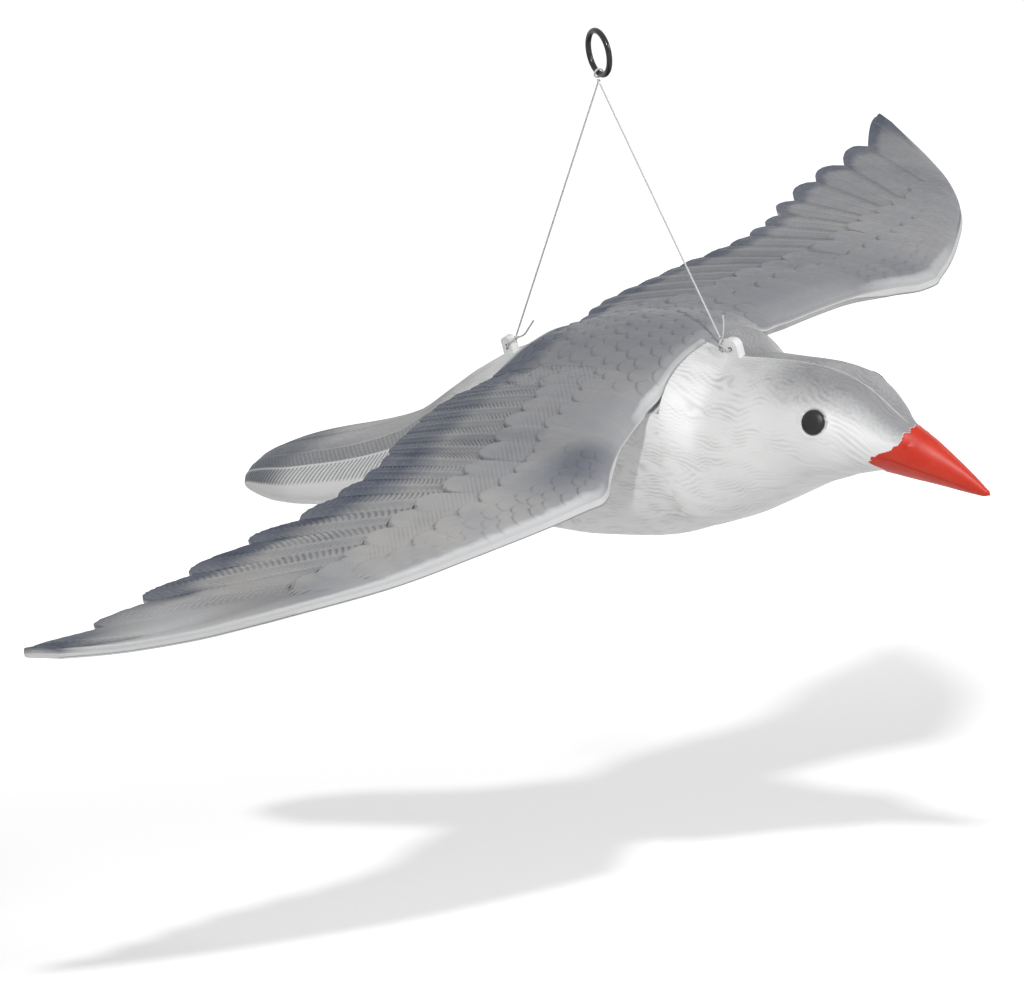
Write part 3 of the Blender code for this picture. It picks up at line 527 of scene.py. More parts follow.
paints = {
    "wingGrey": (0.365, 0.367, 0.376),
    "wingWarm": (0.420, 0.411, 0.403),
    "wingDark": (0.054, 0.069, 0.106),
    "wingPale": (0.52, 0.53, 0.54),
    "wingCrestPale": (0.62, 0.62, 0.62),
    "wingWhite": (0.60, 0.605, 0.605),
    "dullWhite": (0.58, 0.58, 0.575),
    "rimShadeLine": (0.12, 0.12, 0.13),
    "barbShade": (0.085, 0.090, 0.105),
    "white": (0.80, 0.805, 0.80),
    "offWhite": (0.78, 0.78, 0.775),
    "crownGrey": (0.29, 0.29, 0.302),
    "crownShade": (0.13, 0.13, 0.14),
    # painted shade for hollows, creases and gaps
    "cavityShade": (0.30, 0.30, 0.30),
    # the tail's dark paint, also used as painted shade under the saddle's front edge
    "tailDarkAndGapShade": (0.075, 0.088, 0.115),
    "beak": (0.56, 0.027, 0.010),
    "beakLight": (0.60, 0.040, 0.016),
    "beakShade": (0.30, 0.02, 0.012),
    "cord": (0.62, 0.62, 0.61),
    "cordDark": (0.56, 0.56, 0.55),
    "cordLight": (0.66, 0.66, 0.65),
    "black": (0.012, 0.012, 0.013),
    "eye": (0.009, 0.009, 0.010),
}


def finishPaint(w, shader, colour, roughness, bump):
    # colour and roughness may be None; bump is a height, its strength and its distance in metres
    if colour is not None:
        w.put(shader.inputs["Base Color"], colour)
    if roughness is not None:
        w.put(shader.inputs["Roughness"], roughness)
    height, strength, distance = bump
    inlets = {"Strength": strength, "Distance": distance, "Height": height}
    w.put(shader.inputs["Normal"], w.node("ShaderNodeBump", 0, inlets))


def wingPaint():
    material, w, shader = newPaint("wing paint", paints["wingGrey"], 0.5)
    cloud = w.noise(38, 4)
    fine = w.noise(420, 3)
    base = w.mix(w.range(cloud, 0.35, 0.65), paints["wingGrey"], paints["wingWarm"])
    # the wing's dark paint, together with painted shade at the bend, along the root's valley and over the
    # far wing
    dark = w.multiply(w.attribute("dark"), w.range(cloud, 0.2, 0.8, 0.8, 1.15))
    base = w.mix(dark, base, paints["wingDark"])
    pale = w.maths("ADD", w.attribute("pale"), w.range(w.noise(900, 2), 0.3, 0.7, -0.05, 0.05), True)
    pale = w.multiply(pale, w.range(w.attribute("pale"), 0.0, 0.3))
    base = w.mix(pale, base, paints["wingPale"])
    # painted shade in the barb grooves, in step with the barb relief
    turn = w.maths("MULTIPLY", w.attribute("barbPhase"), 2 * math.pi / wing["barbPitch"])
    shadeWash = w.maths("SUBTRACT", 0.5, w.maths("MULTIPLY", w.maths("SINE", turn), 0.5))
    shadeWash = w.multiply(w.maths("MULTIPLY", shadeWash, 0.62), w.attribute("barbMask"))
    base = w.mix(shadeWash, base, paints["barbShade"])
    # painted shade along the coverts' edges and in the feather grooves
    base = w.mix(w.multiply(w.attribute("cavity"), 0.70), base, paints["barbShade"])
    # paler paint along the raised feather shafts
    mottled = w.multiply(w.attribute("crest"), w.range(fine, 0.45, 0.75, 0.0, 0.5))
    base = w.mix(mottled, base, paints["wingCrestPale"])
    finishPaint(w, shader, base, w.range(fine, 0.3, 0.7, 0.42, 0.56), (fine, 0.12, 0.0004))
    return material


def whitePaint():
    material, w, shader = newPaint("wing white", paints["wingWhite"], 0.48)
    base = w.mix(w.range(w.noise(30, 3), 0.3, 0.75), paints["wingWhite"], paints["dullWhite"])
    # painted shade from the covert-edge and groove marks
    base = w.mix(w.multiply(w.attribute("cavity"), 0.5), base, paints["cavityShade"])
    # a painted shade line along the bottom edge of the leading edge's wall
    base = w.mix(w.range(w.attribute("rim"), 0.72, 0.95, 0.0, 0.8), base, paints["rimShadeLine"])
    finishPaint(w, shader, base, None, (w.noise(420, 3), 0.1, 0.0004))
    return material


def bodyPaint():
    material, w, shader = newPaint("body paint", paints["white"], 0.5)
    cloud = w.noise(30, 3)
    speck = w.noise(700, 2)
    base = w.mix(w.range(cloud, 0.3, 0.75), paints["white"], paints["offWhite"])
    # painted shade in the ripples' hollows, along the beak's mouth line and on the strip under the saddle's
    # front edge
    cavity = w.multiply(w.attribute("cavity"), w.range(cloud, 0.3, 0.7, 0.3, 0.6))
    base = w.mix(cavity, base, paints["cavityShade"])
    crown = w.maths("ADD", w.attribute("crown"), w.range(speck, 0.3, 0.7, -0.06, 0.06), True)
    crown = w.multiply(crown, w.range(w.attribute("crown"), 0.0, 0.4))
    base = w.mix(crown, base, paints["crownGrey"])
    base = w.mix(w.multiply(cavity, w.attribute("crown")), base, paints["crownShade"])
    dark = w.multiply(w.attribute("dark"), w.range(cloud, 0.2, 0.8, 0.8, 1.15))
    base = w.mix(dark, base, paints["tailDarkAndGapShade"])
    finishPaint(w, shader, base, w.range(speck, 0.3, 0.7, 0.45, 0.58), (w.noise(500, 3), 0.1, 0.0004))
    return material


def beakPaint():
    material, w, shader = newPaint("beak paint", paints["beak"], 0.42)
    base = w.mix(w.range(w.noise(120, 3), 0.35, 0.7), paints["beak"], paints["beakLight"])
    base = w.mix(w.multiply(w.attribute("cavity"), 0.7), base, paints["beakShade"])
    finishPaint(w, shader, base, None, (w.noise(600, 3), 0.15, 0.0003))
    return material


def blackGloss(name, colour, roughness):
    material, w, shader = newPaint(name, colour, roughness, 0.4)
    mottled = w.range(w.noise(500, 2), 0.3, 0.7, roughness * 0.8, roughness * 1.3)
    finishPaint(w, shader, None, mottled, (w.noise(300, 2), 0.05, 0.0003))
    return material


def cordYarn():
    material, w, shader = newPaint("cord yarn", paints["cord"], 0.75, 0.5)
    w.put(shader.inputs["Sheen Weight"], 0.2)
    fibre = w.noise(2500, 2)
    base = w.mix(w.range(fibre, 0.3, 0.7), paints["cordDark"], paints["cordLight"])
    finishPaint(w, shader, base, None, (fibre, 0.3, 0.0002))
    return material


wingMaterial = wingPaint()
whiteMaterial = whitePaint()
bodyMaterial = bodyPaint()
beakMaterial = beakPaint()
ringMaterial = blackGloss("ring black", paints["black"], 0.2)
eyeMaterial = blackGloss("eye black", paints["eye"], 0.36)
cordMaterial = cordYarn()
print("materials ready")

# Geometry Nodes trees, each run on an object and baked to a plain mesh


def newTree(name, sizes):
    tree = bpy.data.node_groups.new(name, "GeometryNodeTree")
    tree.interface.new_socket("Geometry", in_out="INPUT", socket_type="NodeSocketGeometry")
    for key, value in sizes.items():
        kind = "NodeSocketInt" if isinstance(value, int) else "NodeSocketFloat"
        tree.interface.new_socket(key, in_out="INPUT", socket_type=kind).default_value = value
    tree.interface.new_socket("Geometry", in_out="OUTPUT", socket_type="NodeSocketGeometry")
    return Wiring(tree), tree.nodes.new("NodeGroupInput").outputs


def finishTree(w, geometry, material):
    realized = w.node("GeometryNodeRealizeInstances", 0, {0: geometry})
    painted = w.node("GeometryNodeSetMaterial", 0, {0: realized, "Material": material})
    w.put(w.tree.nodes.new("NodeGroupOutput").inputs[0], painted)
    return w.tree


def bake(obj, tree, sizes):
    # leaves a plain mesh under the object's name
    modifier = obj.modifiers.new("make", "NODES")
    modifier.node_group = tree
    for item in tree.interface.items_tree:
        if item.in_out == "INPUT" and item.name in sizes:
            modifier[item.identifier] = sizes[item.name]
    bpy.context.view_layer.update()
    graph = bpy.context.evaluated_depsgraph_get()
    evaluated = obj.evaluated_get(graph)
    mesh = bpy.data.meshes.new_from_object(evaluated, preserve_all_data_layers=True, depsgraph=graph)
    name = obj.name
    old = obj.data
    store = bpy.data.meshes if isinstance(old, bpy.types.Mesh) else bpy.data.curves
    bpy.data.objects.remove(obj, do_unlink=True)
    store.remove(old)
    mesh.name = name
    mesh.shade_smooth()
    made = bpy.data.objects.new(name, mesh)
    bpy.context.scene.collection.objects.link(made)
    return made


def polyCurve(name, points, closed=False):
    data = bpy.data.curves.new(name, "CURVE")
    data.dimensions = "3D"
    spline = data.splines.new("POLY")
    spline.points.add(len(points) - 1)
    for slot, p in zip(spline.points, points):
        slot.co = (*p, 1)
    spline.use_cyclic_u = closed
    obj = bpy.data.objects.new(name, data)
    bpy.context.scene.collection.objects.link(obj)
    return obj


# Cord: a laid line of a few strands, swept along a path with a steady twist, in metres

cord = {
    "Radius": 0.0004,
    "Strands": 3,
    "Lay Length": 0.0026,  # one full turn of the strands
    "Ring Spacing": 0.00022,
    "Sides": 18,
    "Strand Depth": 0.06,  # groove between strands as a share of the radius
}


def cordTree():
    w, given = newTree("laid cord", cord)
    route = {"Curve": given["Geometry"], "Length": given["Ring Spacing"]}
    rings = w.node("GeometryNodeResampleCurve", 0, route, mode="LENGTH")
    turns = w.maths("DIVIDE", w.node("GeometryNodeSplineParameter", "Length"), given["Lay Length"])
    twist = {"Curve": rings, "Tilt": w.maths("MULTIPLY", turns, 2 * math.pi)}
    twisted = w.node("GeometryNodeSetCurveTilt", 0, twist)
    angle = w.maths("MULTIPLY", w.node("GeometryNodeSplineParameter", "Factor"), 2 * math.pi)
    lobes = w.maths("COSINE", w.maths("MULTIPLY", angle, given["Strands"]))
    dip = w.maths("MULTIPLY", w.maths("SUBTRACT", 1.0, lobes), 0.5)
    factor = w.maths("SUBTRACT", 1.0, w.maths("MULTIPLY", dip, given["Strand Depth"]))
    place = w.vectorMaths("SCALE", 0, {0: w.node("GeometryNodeInputPosition"), "Scale": factor})
    circle = w.circle(given["Sides"], given["Radius"])
    lobed = w.node("GeometryNodeSetPosition", 0, {"Geometry": circle, "Position": place})
    sweep = {"Curve": twisted, "Profile Curve": lobed, "Fill Caps": True}
    return finishTree(w, w.node("GeometryNodeCurveToMesh", 0, sweep), cordMaterial)


cordNodes = cordTree()


def layCord(name, points, closed=False, radius=cord["Radius"]):
    return bake(polyCurve(name, points, closed), cordNodes, {**cord, "Radius": radius})


def throughPoints(corners, steps=8):  # a smooth run through the corners
    corners = [Vector(c) for c in corners]
    count = len(corners)
    points = []
    for i in range(count - 1):
        p0, p1, p2, p3 = (corners[min(max(i + k, 0), count - 1)] for k in (-1, 0, 1, 2))
        bend = 2 * p0 - 5 * p1 + 4 * p2 - p3
        swing = 3 * p1 - p0 - 3 * p2 + p3
        for k in range(steps):
            t = k / steps
            points.append(0.5 * (2 * p1 + (p2 - p0) * t + bend * t**2 + swing * t**3))
    return points + [corners[-1]]


# Bridle, in millimetres

ring = {"outer": 20.4, "wire": 2.4, "steps": 96, "sides": 28}
knots = {
    "bridle": 1.8,
    "lug": 1.9,
    "gap": 0.3,
    "bridleReach": 0.55,  # of the knot's run, and the radius of the cord in it
    "lugReach": 0.58,
    "cordRadius": 0.34,
}
lug = {"thickness": 4.2, "top": 4.2, "root": 6.0, "hole": 2.4, "corner": 0.8, "softening": 0.35}

# at is the hole's station, ahead the side of its knot, way the loose end's run as shares of its length
lugs = {
    "Front": {
        "node": "lug_knot_front",
        "at": 118.5,
        "length": 7.8,
        "ahead": -1,
        "ballTurn": 60,
        "looseEnd": 11.5,
        "way": ((0, 0), (0.14, 0.32), (0.25, 0.65), (0.31, 0.95)),
    },
    "Rear": {
        "node": "lug_knot_rear",
        "at": 0.0,
        "length": 5.6,
        "ahead": 1,
        "ballTurn": 20,
        "looseEnd": 14.5,
        "way": ((0, 0), (0.31, 0.10), (0.57, 0.32), (0.82, 0.55)),
    },
}

ringRadius = (ring["outer"] - ring["wire"]) / 2
innerRadius = ringRadius - ring["wire"] / 2
wireBottom = -innerRadius - ringRadius
knotHeight = -hang["knotBelow"]


def lugKnot(tab):  # middle of a lug's knot in bird millimetres
    reach = tab["length"] / 2 + knots["gap"] + knots["lug"] / 2
    return np.array((tab["at"] + tab["ahead"] * reach, 0.0, lug["top"] - knots["lug"] / 2))


def knotBall(name, middle, reach, degrees, axis):
    # an overhand knot's three-lobed run, fitted inside a ball
    turn = Matrix.Rotation(math.radians(degrees), 3, axis)
    points = []
    for t in aroundCircle(60):
        across = math.cos(t) - 2 * math.cos(2 * t)
        p = Vector((math.sin(t) + 2 * math.sin(2 * t), across, -1.6 * math.sin(3 * t)))
        points.append(Vector(middle) + turn @ (p * (reach / 1000) / 3.3))
    return layCord(name, points, True, knots["cordRadius"] / 1000)


def makeLeg(name, node, tab):
    start = Vector((0, 0, knotHeight / 1000))
    end = Vector(toWorld(lugKnot(tab)))
    along = (end - start).normalized()
    first = start + along * (knots["bridle"] / 2 + knots["gap"]) / 1000
    last = end - along * (knots["lug"] / 2 + knots["gap"]) / 1000
    steps = 40
    path = [first.lerp(last, k / steps) for k in range(steps + 1)]
    leg = layCord(name, path)
    settle(leg, "bridle", "cord_white", node)


def makeBridle():
    makeLeg("bridleLegFront", "bridle_leg_front", lugs["Front"])
    makeLeg("bridleLegRear", "bridle_leg_rear", lugs["Rear"])
    knot = knotBall("bridleKnot", Vector((0, 0, knotHeight / 1000)), knots["bridleReach"], 35, "X")
    settle(knot, "knot", "cord_white", "bridle_knot")

    # the loop's two turns of cord lie side by side round the wire
    turned = Matrix.Rotation(math.radians(hang["ringTurn"]), 3, "Z")
    reach = (ring["wire"] / 2 + knots["gap"] + 0.4) / 1000
    low = Vector((0, 0, wireBottom / 1000))
    points = []
    for t in aroundCircle(48):
        around = Vector((0.00012 * math.sin(t), reach * math.cos(t), reach * math.sin(t)))
        points.append(low + turned @ around)
    settle(layCord("bridleLoop", points, True), "loop", "cord_white", "bridle_loop")


def makeLugKnot(name, tab):
    hole = np.array((tab["at"], 0.0, 0.0))
    knot = lugKnot(tab)
    x, middle, rise = knot - hole
    ahead = tab["ahead"]
    face = lug["thickness"] / 2 + knots["gap"] + 0.4
    half = [
        (x, 0.3, rise),
        (ahead * (tab["length"] / 2 + 0.5), face * 0.90, rise - 0.6),
        (ahead * tab["length"] / 2 * 0.72, face + 0.2, rise * 0.62),
        (ahead * 1.1, face, 0.6),
        (ahead * 0.15, face * 0.80, 0.1),
        (0.0, 0.0, -0.1),
    ]
    eyePath = half + [(a, -b, c) for a, b, c in reversed(half[:-1])]
    long = tab["looseEnd"]
    loosePath = [(x + 0.55 + a * long, middle, rise + u * long) for a, u in tab["way"]]
    parts = []
    for label, path in (("Eye", eyePath), ("End", loosePath)):
        world = [toWorld(hole + np.array(p)) for p in path]
        parts.append(layCord(name + label, throughPoints(world)))
    parts.append(knotBall(name + "Ball", toWorld(knot), knots["lugReach"], tab["ballTurn"], "Y"))
    bpy.ops.object.select_all(action="DESELECT")
    for part in parts:
        part.select_set(True)
    bpy.context.view_layer.objects.active = parts[0]
    bpy.ops.object.join()
    joined = bpy.context.view_layer.objects.active
    joined.name = name
    joined.data.name = name
    settle(joined, "bird", "cord_white", tab["node"])


makeBridle()
for label, tab in lugs.items():
    makeLugKnot("lugKnot" + label, tab)
print("bridle laid")


def makeRing():
    sizes = {"Ring Radius": ringRadius / 1000, "Wire Radius": ring["wire"] / 2000}
    sizes.update({"Steps": ring["steps"], "Sides": ring["sides"]})
    w, given = newTree("wire ring", sizes)
    wire = w.circle(given["Sides"], given["Wire Radius"])
    sweep = {"Curve": w.circle(given["Steps"], given["Ring Radius"]), "Profile Curve": wire}
    tree = finishTree(w, w.node("GeometryNodeCurveToMesh", 0, sweep), ringMaterial)
    made = bake(polyCurve("hangingRing", [(0, 0, 0), (0, 0, 0.001)]), tree, sizes)
    upright = Matrix.Rotation(math.radians(90), 4, "X")
    turned = Matrix.Rotation(math.radians(hang["ringTurn"]), 4, "Z")
    made.data.transform(Matrix.Translation((0, 0, -innerRadius / 1000)) @ turned @ upright)
    settle(made, "ring", "ring_black", "hanging_ring")


makeRing()
print("ring made")

# Body halves

# turns are in radians round the section from the back's middle, rises and depths in millimetres
body = {
    "columns": 235,
    "seamGap": 0.05,
    "rippleDepth": 0.34,
    "ripplePitch": 2.1,
    "beakEdge": 200.4,
    "beakRim": 0.18,
    "nostril": (201.0, -38.2),
    "nostrilRise": 0.45,
    "mouthTurn": 1.62,
    "mouthDepth": 0.28,
    "seamRise": 0.12,
    "quillTurn": 0.95,
    "bandTurn": 0.54,
    "tailUnder": (1.36, 1.5),  # where the tail's feathers end, below its edge
    "tailBarb": 0.34,
    "quillRise": 0.28,
    "middleQuillRise": 0.18,
    "bandStep": 0.3,
    "eyeStation": 171.5,
    "eyeAngle": 65.0,
    "eyeSeat": 5.25,
    "eyeRecess": 1.0,
    "eyeRim": 0.35,
}


def ribPoint(station, angle):
    topX, topZ, lowX, lowZ, half, square, narrowing = bodyRib(station)
    reach = np.hypot(topX - lowX, topZ - lowZ) / 2
    upX = (topX - lowX) / 2 / reach
    upZ = (topZ - lowZ) / 2 / reach
    cosine = np.cos(angle)
    rise = np.sign(cosine) * np.abs(cosine) ** (2 / square) * reach
    wide = half * (1 - narrowing * np.maximum(cosine, 0) ** 2)
    out = np.clip(np.sin(angle), 0, 1) ** (2 / square) * wide
    return np.stack(((topX + lowX) / 2 + upX * rise, out, (topZ + lowZ) / 2 + upZ * rise), axis=-1)


def eyeFrame():
    station = body["eyeStation"]
    angle = math.radians(body["eyeAngle"])
    here = ribPoint(station, angle)
    along = ribPoint(station + 1, angle) - ribPoint(station - 1, angle)
    around = ribPoint(station, angle + 0.02) - ribPoint(station, angle - 0.02)
    normal = np.cross(along, around)
    normal /= np.linalg.norm(normal)
    if normal[1] < 0:
        normal = -normal
    return here, normal


def bodyStations():
    front = wing["saddleFront"] + wing["seatGap"]
    parts = ((tailEnd[0] + 0.6, -40, 202), (-40, front, 76), (front + 0.9, 188, 64), (188, 206, 40))
    runs = [np.linspace(first, last, count, endpoint=False) for first, last, count in parts]
    return np.sort(np.concatenate((*runs, (front, front + 0.2), np.linspace(206, 230.4, 34))))


def valueNoise(x, y, seed):  # smooth repeatable noise, -1 to 1
    table = np.random.default_rng(seed).uniform(-1, 1, (64, 64))
    xi = np.floor(x).astype(int)
    yi = np.floor(y).astype(int)
    fx = ease(x - xi)
    fy = ease(y - yi)

    def at(i, j):
        return table[i % 64, j % 64]

    low = blend(at(xi, yi), at(xi + 1, yi), fx)
    high = blend(at(xi, yi + 1), at(xi + 1, yi + 1), fx)
    return blend(low, high, fy)


def bodySurface():
    stations = bodyStations()
    angles = math.pi * np.linspace(0, 1, body["columns"])
    station, angle = np.meshgrid(stations, angles, indexing="ij")
    x, y, z = np.moveaxis(ribPoint(station.ravel(), angle.ravel()).reshape(*station.shape, 3), -1, 0)
    seat = seatHeight(x, y)
    inSeat = (station > wing["saddleRear"] - 0.001) & (station < wing["saddleFront"] + wing["seatGap"] + 0.1)
    hidden = inSeat & (seat < z) & (angle < math.pi / 2)
    return station, angle, np.stack((x, y, np.where(hidden, seat, z)), axis=-1), hidden


def makeBody():
    station, angle, points, hidden = bodySurface()
    rows, columns = station.shape
    du = np.gradient(points, axis=0)
    dv = np.gradient(points, axis=1)
    normal = np.cross(du, dv)
    normal /= np.maximum(np.linalg.norm(normal, axis=-1, keepdims=True), 1e-9)
    outward = np.sign((normal * (points - points.mean(axis=1, keepdims=True))).sum(-1, keepdims=True))
    normal *= np.where(outward == 0, 1, outward)
    step = np.linalg.norm(np.diff(points, axis=1, prepend=points[:, :1]), axis=-1)
    around = np.cumsum(step, axis=1)
    x, side, z = np.moveaxis(points, -1, 0)

    # ripples run along the body and waver; they fade on the beak and under the wing set
    waver = 3.2 * valueNoise(x / 9 + 7, around / 13, 3) + 1.6 * valueNoise(x / 4.1, around / 6 + 20, 4)
    pitchHere = body["ripplePitch"] + 0.25 * valueNoise(x / 30, around / 30, 5)
    wave = np.sin(2 * math.pi * (around + waver) / pitchHere)
    broken = 0.55 + 0.45 * valueNoise(x / 5.5 + 3, around / 3.2, 6)
    ripple = np.where(wave > 0, np.abs(wave) ** 0.8, wave)
    ragged = valueNoise(around / 1.7, np.full_like(x, 2.0), 7)
    edge = body["beakEdge"] - 5.4 * bell(angle - 1.72, 0.42) + 0.9 * ragged
    red = station > edge
    mask = fade(station, edge - 2.5, edge) * ramp(station, -168, -150)
    tailward = fade(x, -62, -20)
    depth = body["rippleDepth"] * mask * (1 - tailward * (1 - 0.25 * ramp(angle, 1.5, 1.9)))
    depth *= blend(1.0, 0.8, ramp(x, 120, 150))
    offset = depth * broken * (ripple * 0.5 - 0.5)

    # tail feathers: the middle one's edge, and a side quill with its barbs
    onTop = fade(angle, *body["tailUnder"])
    tailTop = fade(x, -45, -12) * onTop * ramp(x, -167, -160)

    def lineAt(turn):  # distance around from the line at one angle
        return around - around[:, [int(round(turn / math.pi * (columns - 1)))]]

    fromQuill = lineAt(body["quillTurn"])
    fromBand = lineAt(body["bandTurn"])
    edgeLine = bell(fromBand, 0.5)
    quill = bell(fromQuill, 0.55)
    centreQuill = bell(around, 0.6)
    pitch = np.where(fromBand > 0, 2.6, 1.9)
    fromLine = np.where(fromBand > 0, np.abs(fromQuill), around)
    barb = np.sin(2 * math.pi * (x + 0.95 * fromLine) / pitch)
    strong = np.where(fromQuill > 0, 1.0, np.where(fromBand > 0, 0.75, 0.22))
    barbMask = strong * (0.75 + 0.25 * valueNoise(x / 7, side / 5, 8)) * ramp(np.abs(fromQuill), 0.4, 1.0)
    barbMask = barbMask * tailTop * (1 - edgeLine)
    offset += body["tailBarb"] * barbMask * (barb - 1) / 2
    quills = body["quillRise"] * quill + body["middleQuillRise"] * centreQuill
    offset += tailTop * (quills + body["bandStep"] * (ramp(fromBand, -0.5, 0.1) - 1))

    # nostril, mouth line and the eye's seat
    beakNow = ramp(station, 196, 200)
    offset += body["nostrilRise"] * blob(x, z, *body["nostril"], 1.3, 1.0) * (angle < 2.0) * beakNow
    mouth = bell(angle - body["mouthTurn"], 0.045) * ramp(station, 195, 199)
    mouth = mouth * fade(station, 224, 229)
    offset -= body["mouthDepth"] * mouth
    offset += body["beakRim"] * ramp(station, edge - 0.4, edge + 0.2) * fade(station, 206, 214)
    here, outwardAtEye = eyeFrame()
    away = points - here
    flatAway = away - (away @ outwardAtEye)[..., None] * outwardAtEye
    distance = np.linalg.norm(flatAway, axis=-1) + 20.0 * ((away @ outwardAtEye) < -8)
    offset *= ramp(distance, 6.2, 8.5)
    seatEdge = body["eyeSeat"]
    offset += body["eyeRim"] * bell(distance - seatEdge - 0.9, 0.7)
    sink = fade(distance, seatEdge - 0.35, seatEdge + 0.1) * body["eyeRecess"]
    seam = fade(around, 0.15, 0.5) * ramp(x, 108, 122) * (1 - beakNow)
    offset = np.where(hidden, 0.0, offset + body["seamRise"] * seam) - sink
    offset *= ramp(angle, 0.0, 0.015) * ramp(math.pi - angle, 0.0, 0.015) * 0.999 + 0.001
    # cavity is painted shade: in the ripples' hollows, along the beak's mouth line and on the strip under
    # the saddle's front edge
    cavity = np.clip(-(offset + sink) / body["rippleDepth"] * 1.35 - 0.35, 0, 1) * (1 - red) * (1 - tailward)
    gap = hidden & (station > wing["saddleFront"] - 1.0)
    cavity = np.maximum.reduce((cavity, np.clip(mouth, 0, 1) * red, 1.0 * gap))

    points = points + normal * offset[..., None]
    points[..., 1] = np.maximum(points[..., 1], body["seamGap"] / 2)

    # grey on the head and nape, more of it on the far half, then the tail's grey and dark paint
    patchy = 0.88 + 0.12 * valueNoise(x / 14, around / 9, 9)
    nearCrown = fade(angle, 0.25, 1.25) * ramp(x, 122, 172) * 0.95 + fade(angle, 0.2, 1.3) * 0.24
    farCrown = fade(angle, 0.6, 1.4)
    onHead = ramp(x, 90, 104) * (1 - red) * patchy * (1 - 0.5 * seam)
    rearBack = fade(angle, 0.3, 1.25) * fade(x, -30, 10) * 0.35
    middle = fade(fromBand, -1.0, 0.3) * 0.72
    band = ramp(fromBand, -0.3, 0.8) * fade(fromQuill, -0.9, 0.1)
    strokes = ramp(fromQuill, 0.0, 0.8) * ramp(-barb, -0.35, 0.75)
    barred = band * (0.80 + 0.2 * ramp(-barb, -0.3, 0.6))
    tailGrey = np.maximum.reduce((middle, barred, 0.85 * strokes)) * tailTop
    patchyTail = 0.6 + 0.4 * valueNoise(x / 9, around / 7, 10)
    tip = fade(x + 0.6 * around, -130, -98) * onTop
    tip = np.maximum(tip, band * fade(x, -150, -100) * 0.75)
    edgeDark = fade(x, -105, -70) * ramp(fromBand, -9.0, -1.0) * fade(fromBand, 0, 1) * 0.3
    dark = tip * 0.92 + band * tailTop * 0.24 * patchyTail + 0.30 * strokes * tailTop + edgeDark * tailTop
    # the strip under the saddle's front edge gets painted shade in the tail's dark colour
    dark = np.clip(np.maximum(dark, 0.9 * gap), 0, 1)
    dark = dark * (1 - 0.6 * quill * tailTop)

    # the grid, closed by a fan at either end and by the flat face on the seam
    tail = rows * columns
    beak = tail + 1
    ends = [(x, body["seamGap"] / 2, z) for x, z in (tailEnd, beakTip)]
    allPoints = np.concatenate((points.reshape(-1, 3), ends))
    faces = gridFaces(rows, columns) + [(k + 1, k, tail) for k in range(columns - 1)]
    faces += [(k, k + 1, beak) for k in range(tail - columns, tail - 1)]
    faces.append((tail, *range(columns - 1, tail, columns), beak, *range(tail - columns, -1, -columns)))
    slots = (red[:-1, :-1] & red[1:, 1:]).ravel().astype(int).tolist()
    slots += [0] * (columns - 1) + [1] * (columns - 1) + [0]
    for name, node, sideways in (("bodyLeft", "body_shell_left", 1), ("bodyRight", "body_shell_right", -1)):
        crown = np.maximum.reduce(((farCrown if sideways > 0 else nearCrown) * onHead, rearBack, tailGrey))
        attributes = {}
        for key, field in (("cavity", cavity), ("crown", crown), ("dark", dark)):
            attributes[key] = np.concatenate((field.ravel(), (0.0, 0.0)))
        own = allPoints.copy()
        own[:, 1] *= sideways
        ownFaces = faces if sideways < 0 else [face[::-1] for face in faces]
        made = addMesh(name, toWorld(own), ownFaces, (bodyMaterial, beakMaterial), attributes, slots)
        settle(made, "bird", "body_plastic", node, sharp=50)
    return here, outwardAtEye


eyePlace, eyeNormal = makeBody()
print("body made")

eye = {
    "profile": ((0.0, 1.3), (1.3, 1.25), (2.6, 1.08), (3.7, 0.76), (4.5, 0.36), (4.88, 0.0), (4.95, -0.2)),
    "foot": (4.95, -0.7),
    "steps": 48,
}


def makeEyes():
    steps = eye["steps"]
    wide, foot = eye["foot"]
    dome = throughPoints([(r, 0, h) for r, h in eye["profile"]], 4) + [Vector((wide, 0, foot))]
    points = [Vector((0, 0, eye["profile"][0][1]))]
    for p in dome[1:]:
        points += [Vector((p.x * math.cos(t), p.x * math.sin(t), p.z)) for t in aroundCircle(steps)]
    points.append(Vector((0, 0, foot)))
    turns = [(k, (k + 1) % steps) for k in range(steps)]
    faces = [(0, 1 + k, 1 + after) for k, after in turns]
    last = 1 + (len(dome) - 2) * steps
    for a in range(1, last, steps):
        faces += [(a + k, a + steps + k, a + steps + after, a + after) for k, after in turns]
    faces += [(last + k, len(points) - 1, last + after) for k, after in turns]
    for name, node, sideways in (("eyeLeft", "eye_left", 1), ("eyeRight", "eye_right", -1)):
        mirror = np.array((1.0, sideways, 1.0))
        here = Vector(eyePlace * mirror)
        turn = Vector((0, 0, 1)).rotation_difference(Vector(eyeNormal * mirror)).to_matrix()
        placed = [tuple(here + turn @ p) for p in points]
        made = addMesh(name, toWorld(placed), faces, (eyeMaterial,), {})
        settle(made, "bird", "eye_black", node, sharp=60)


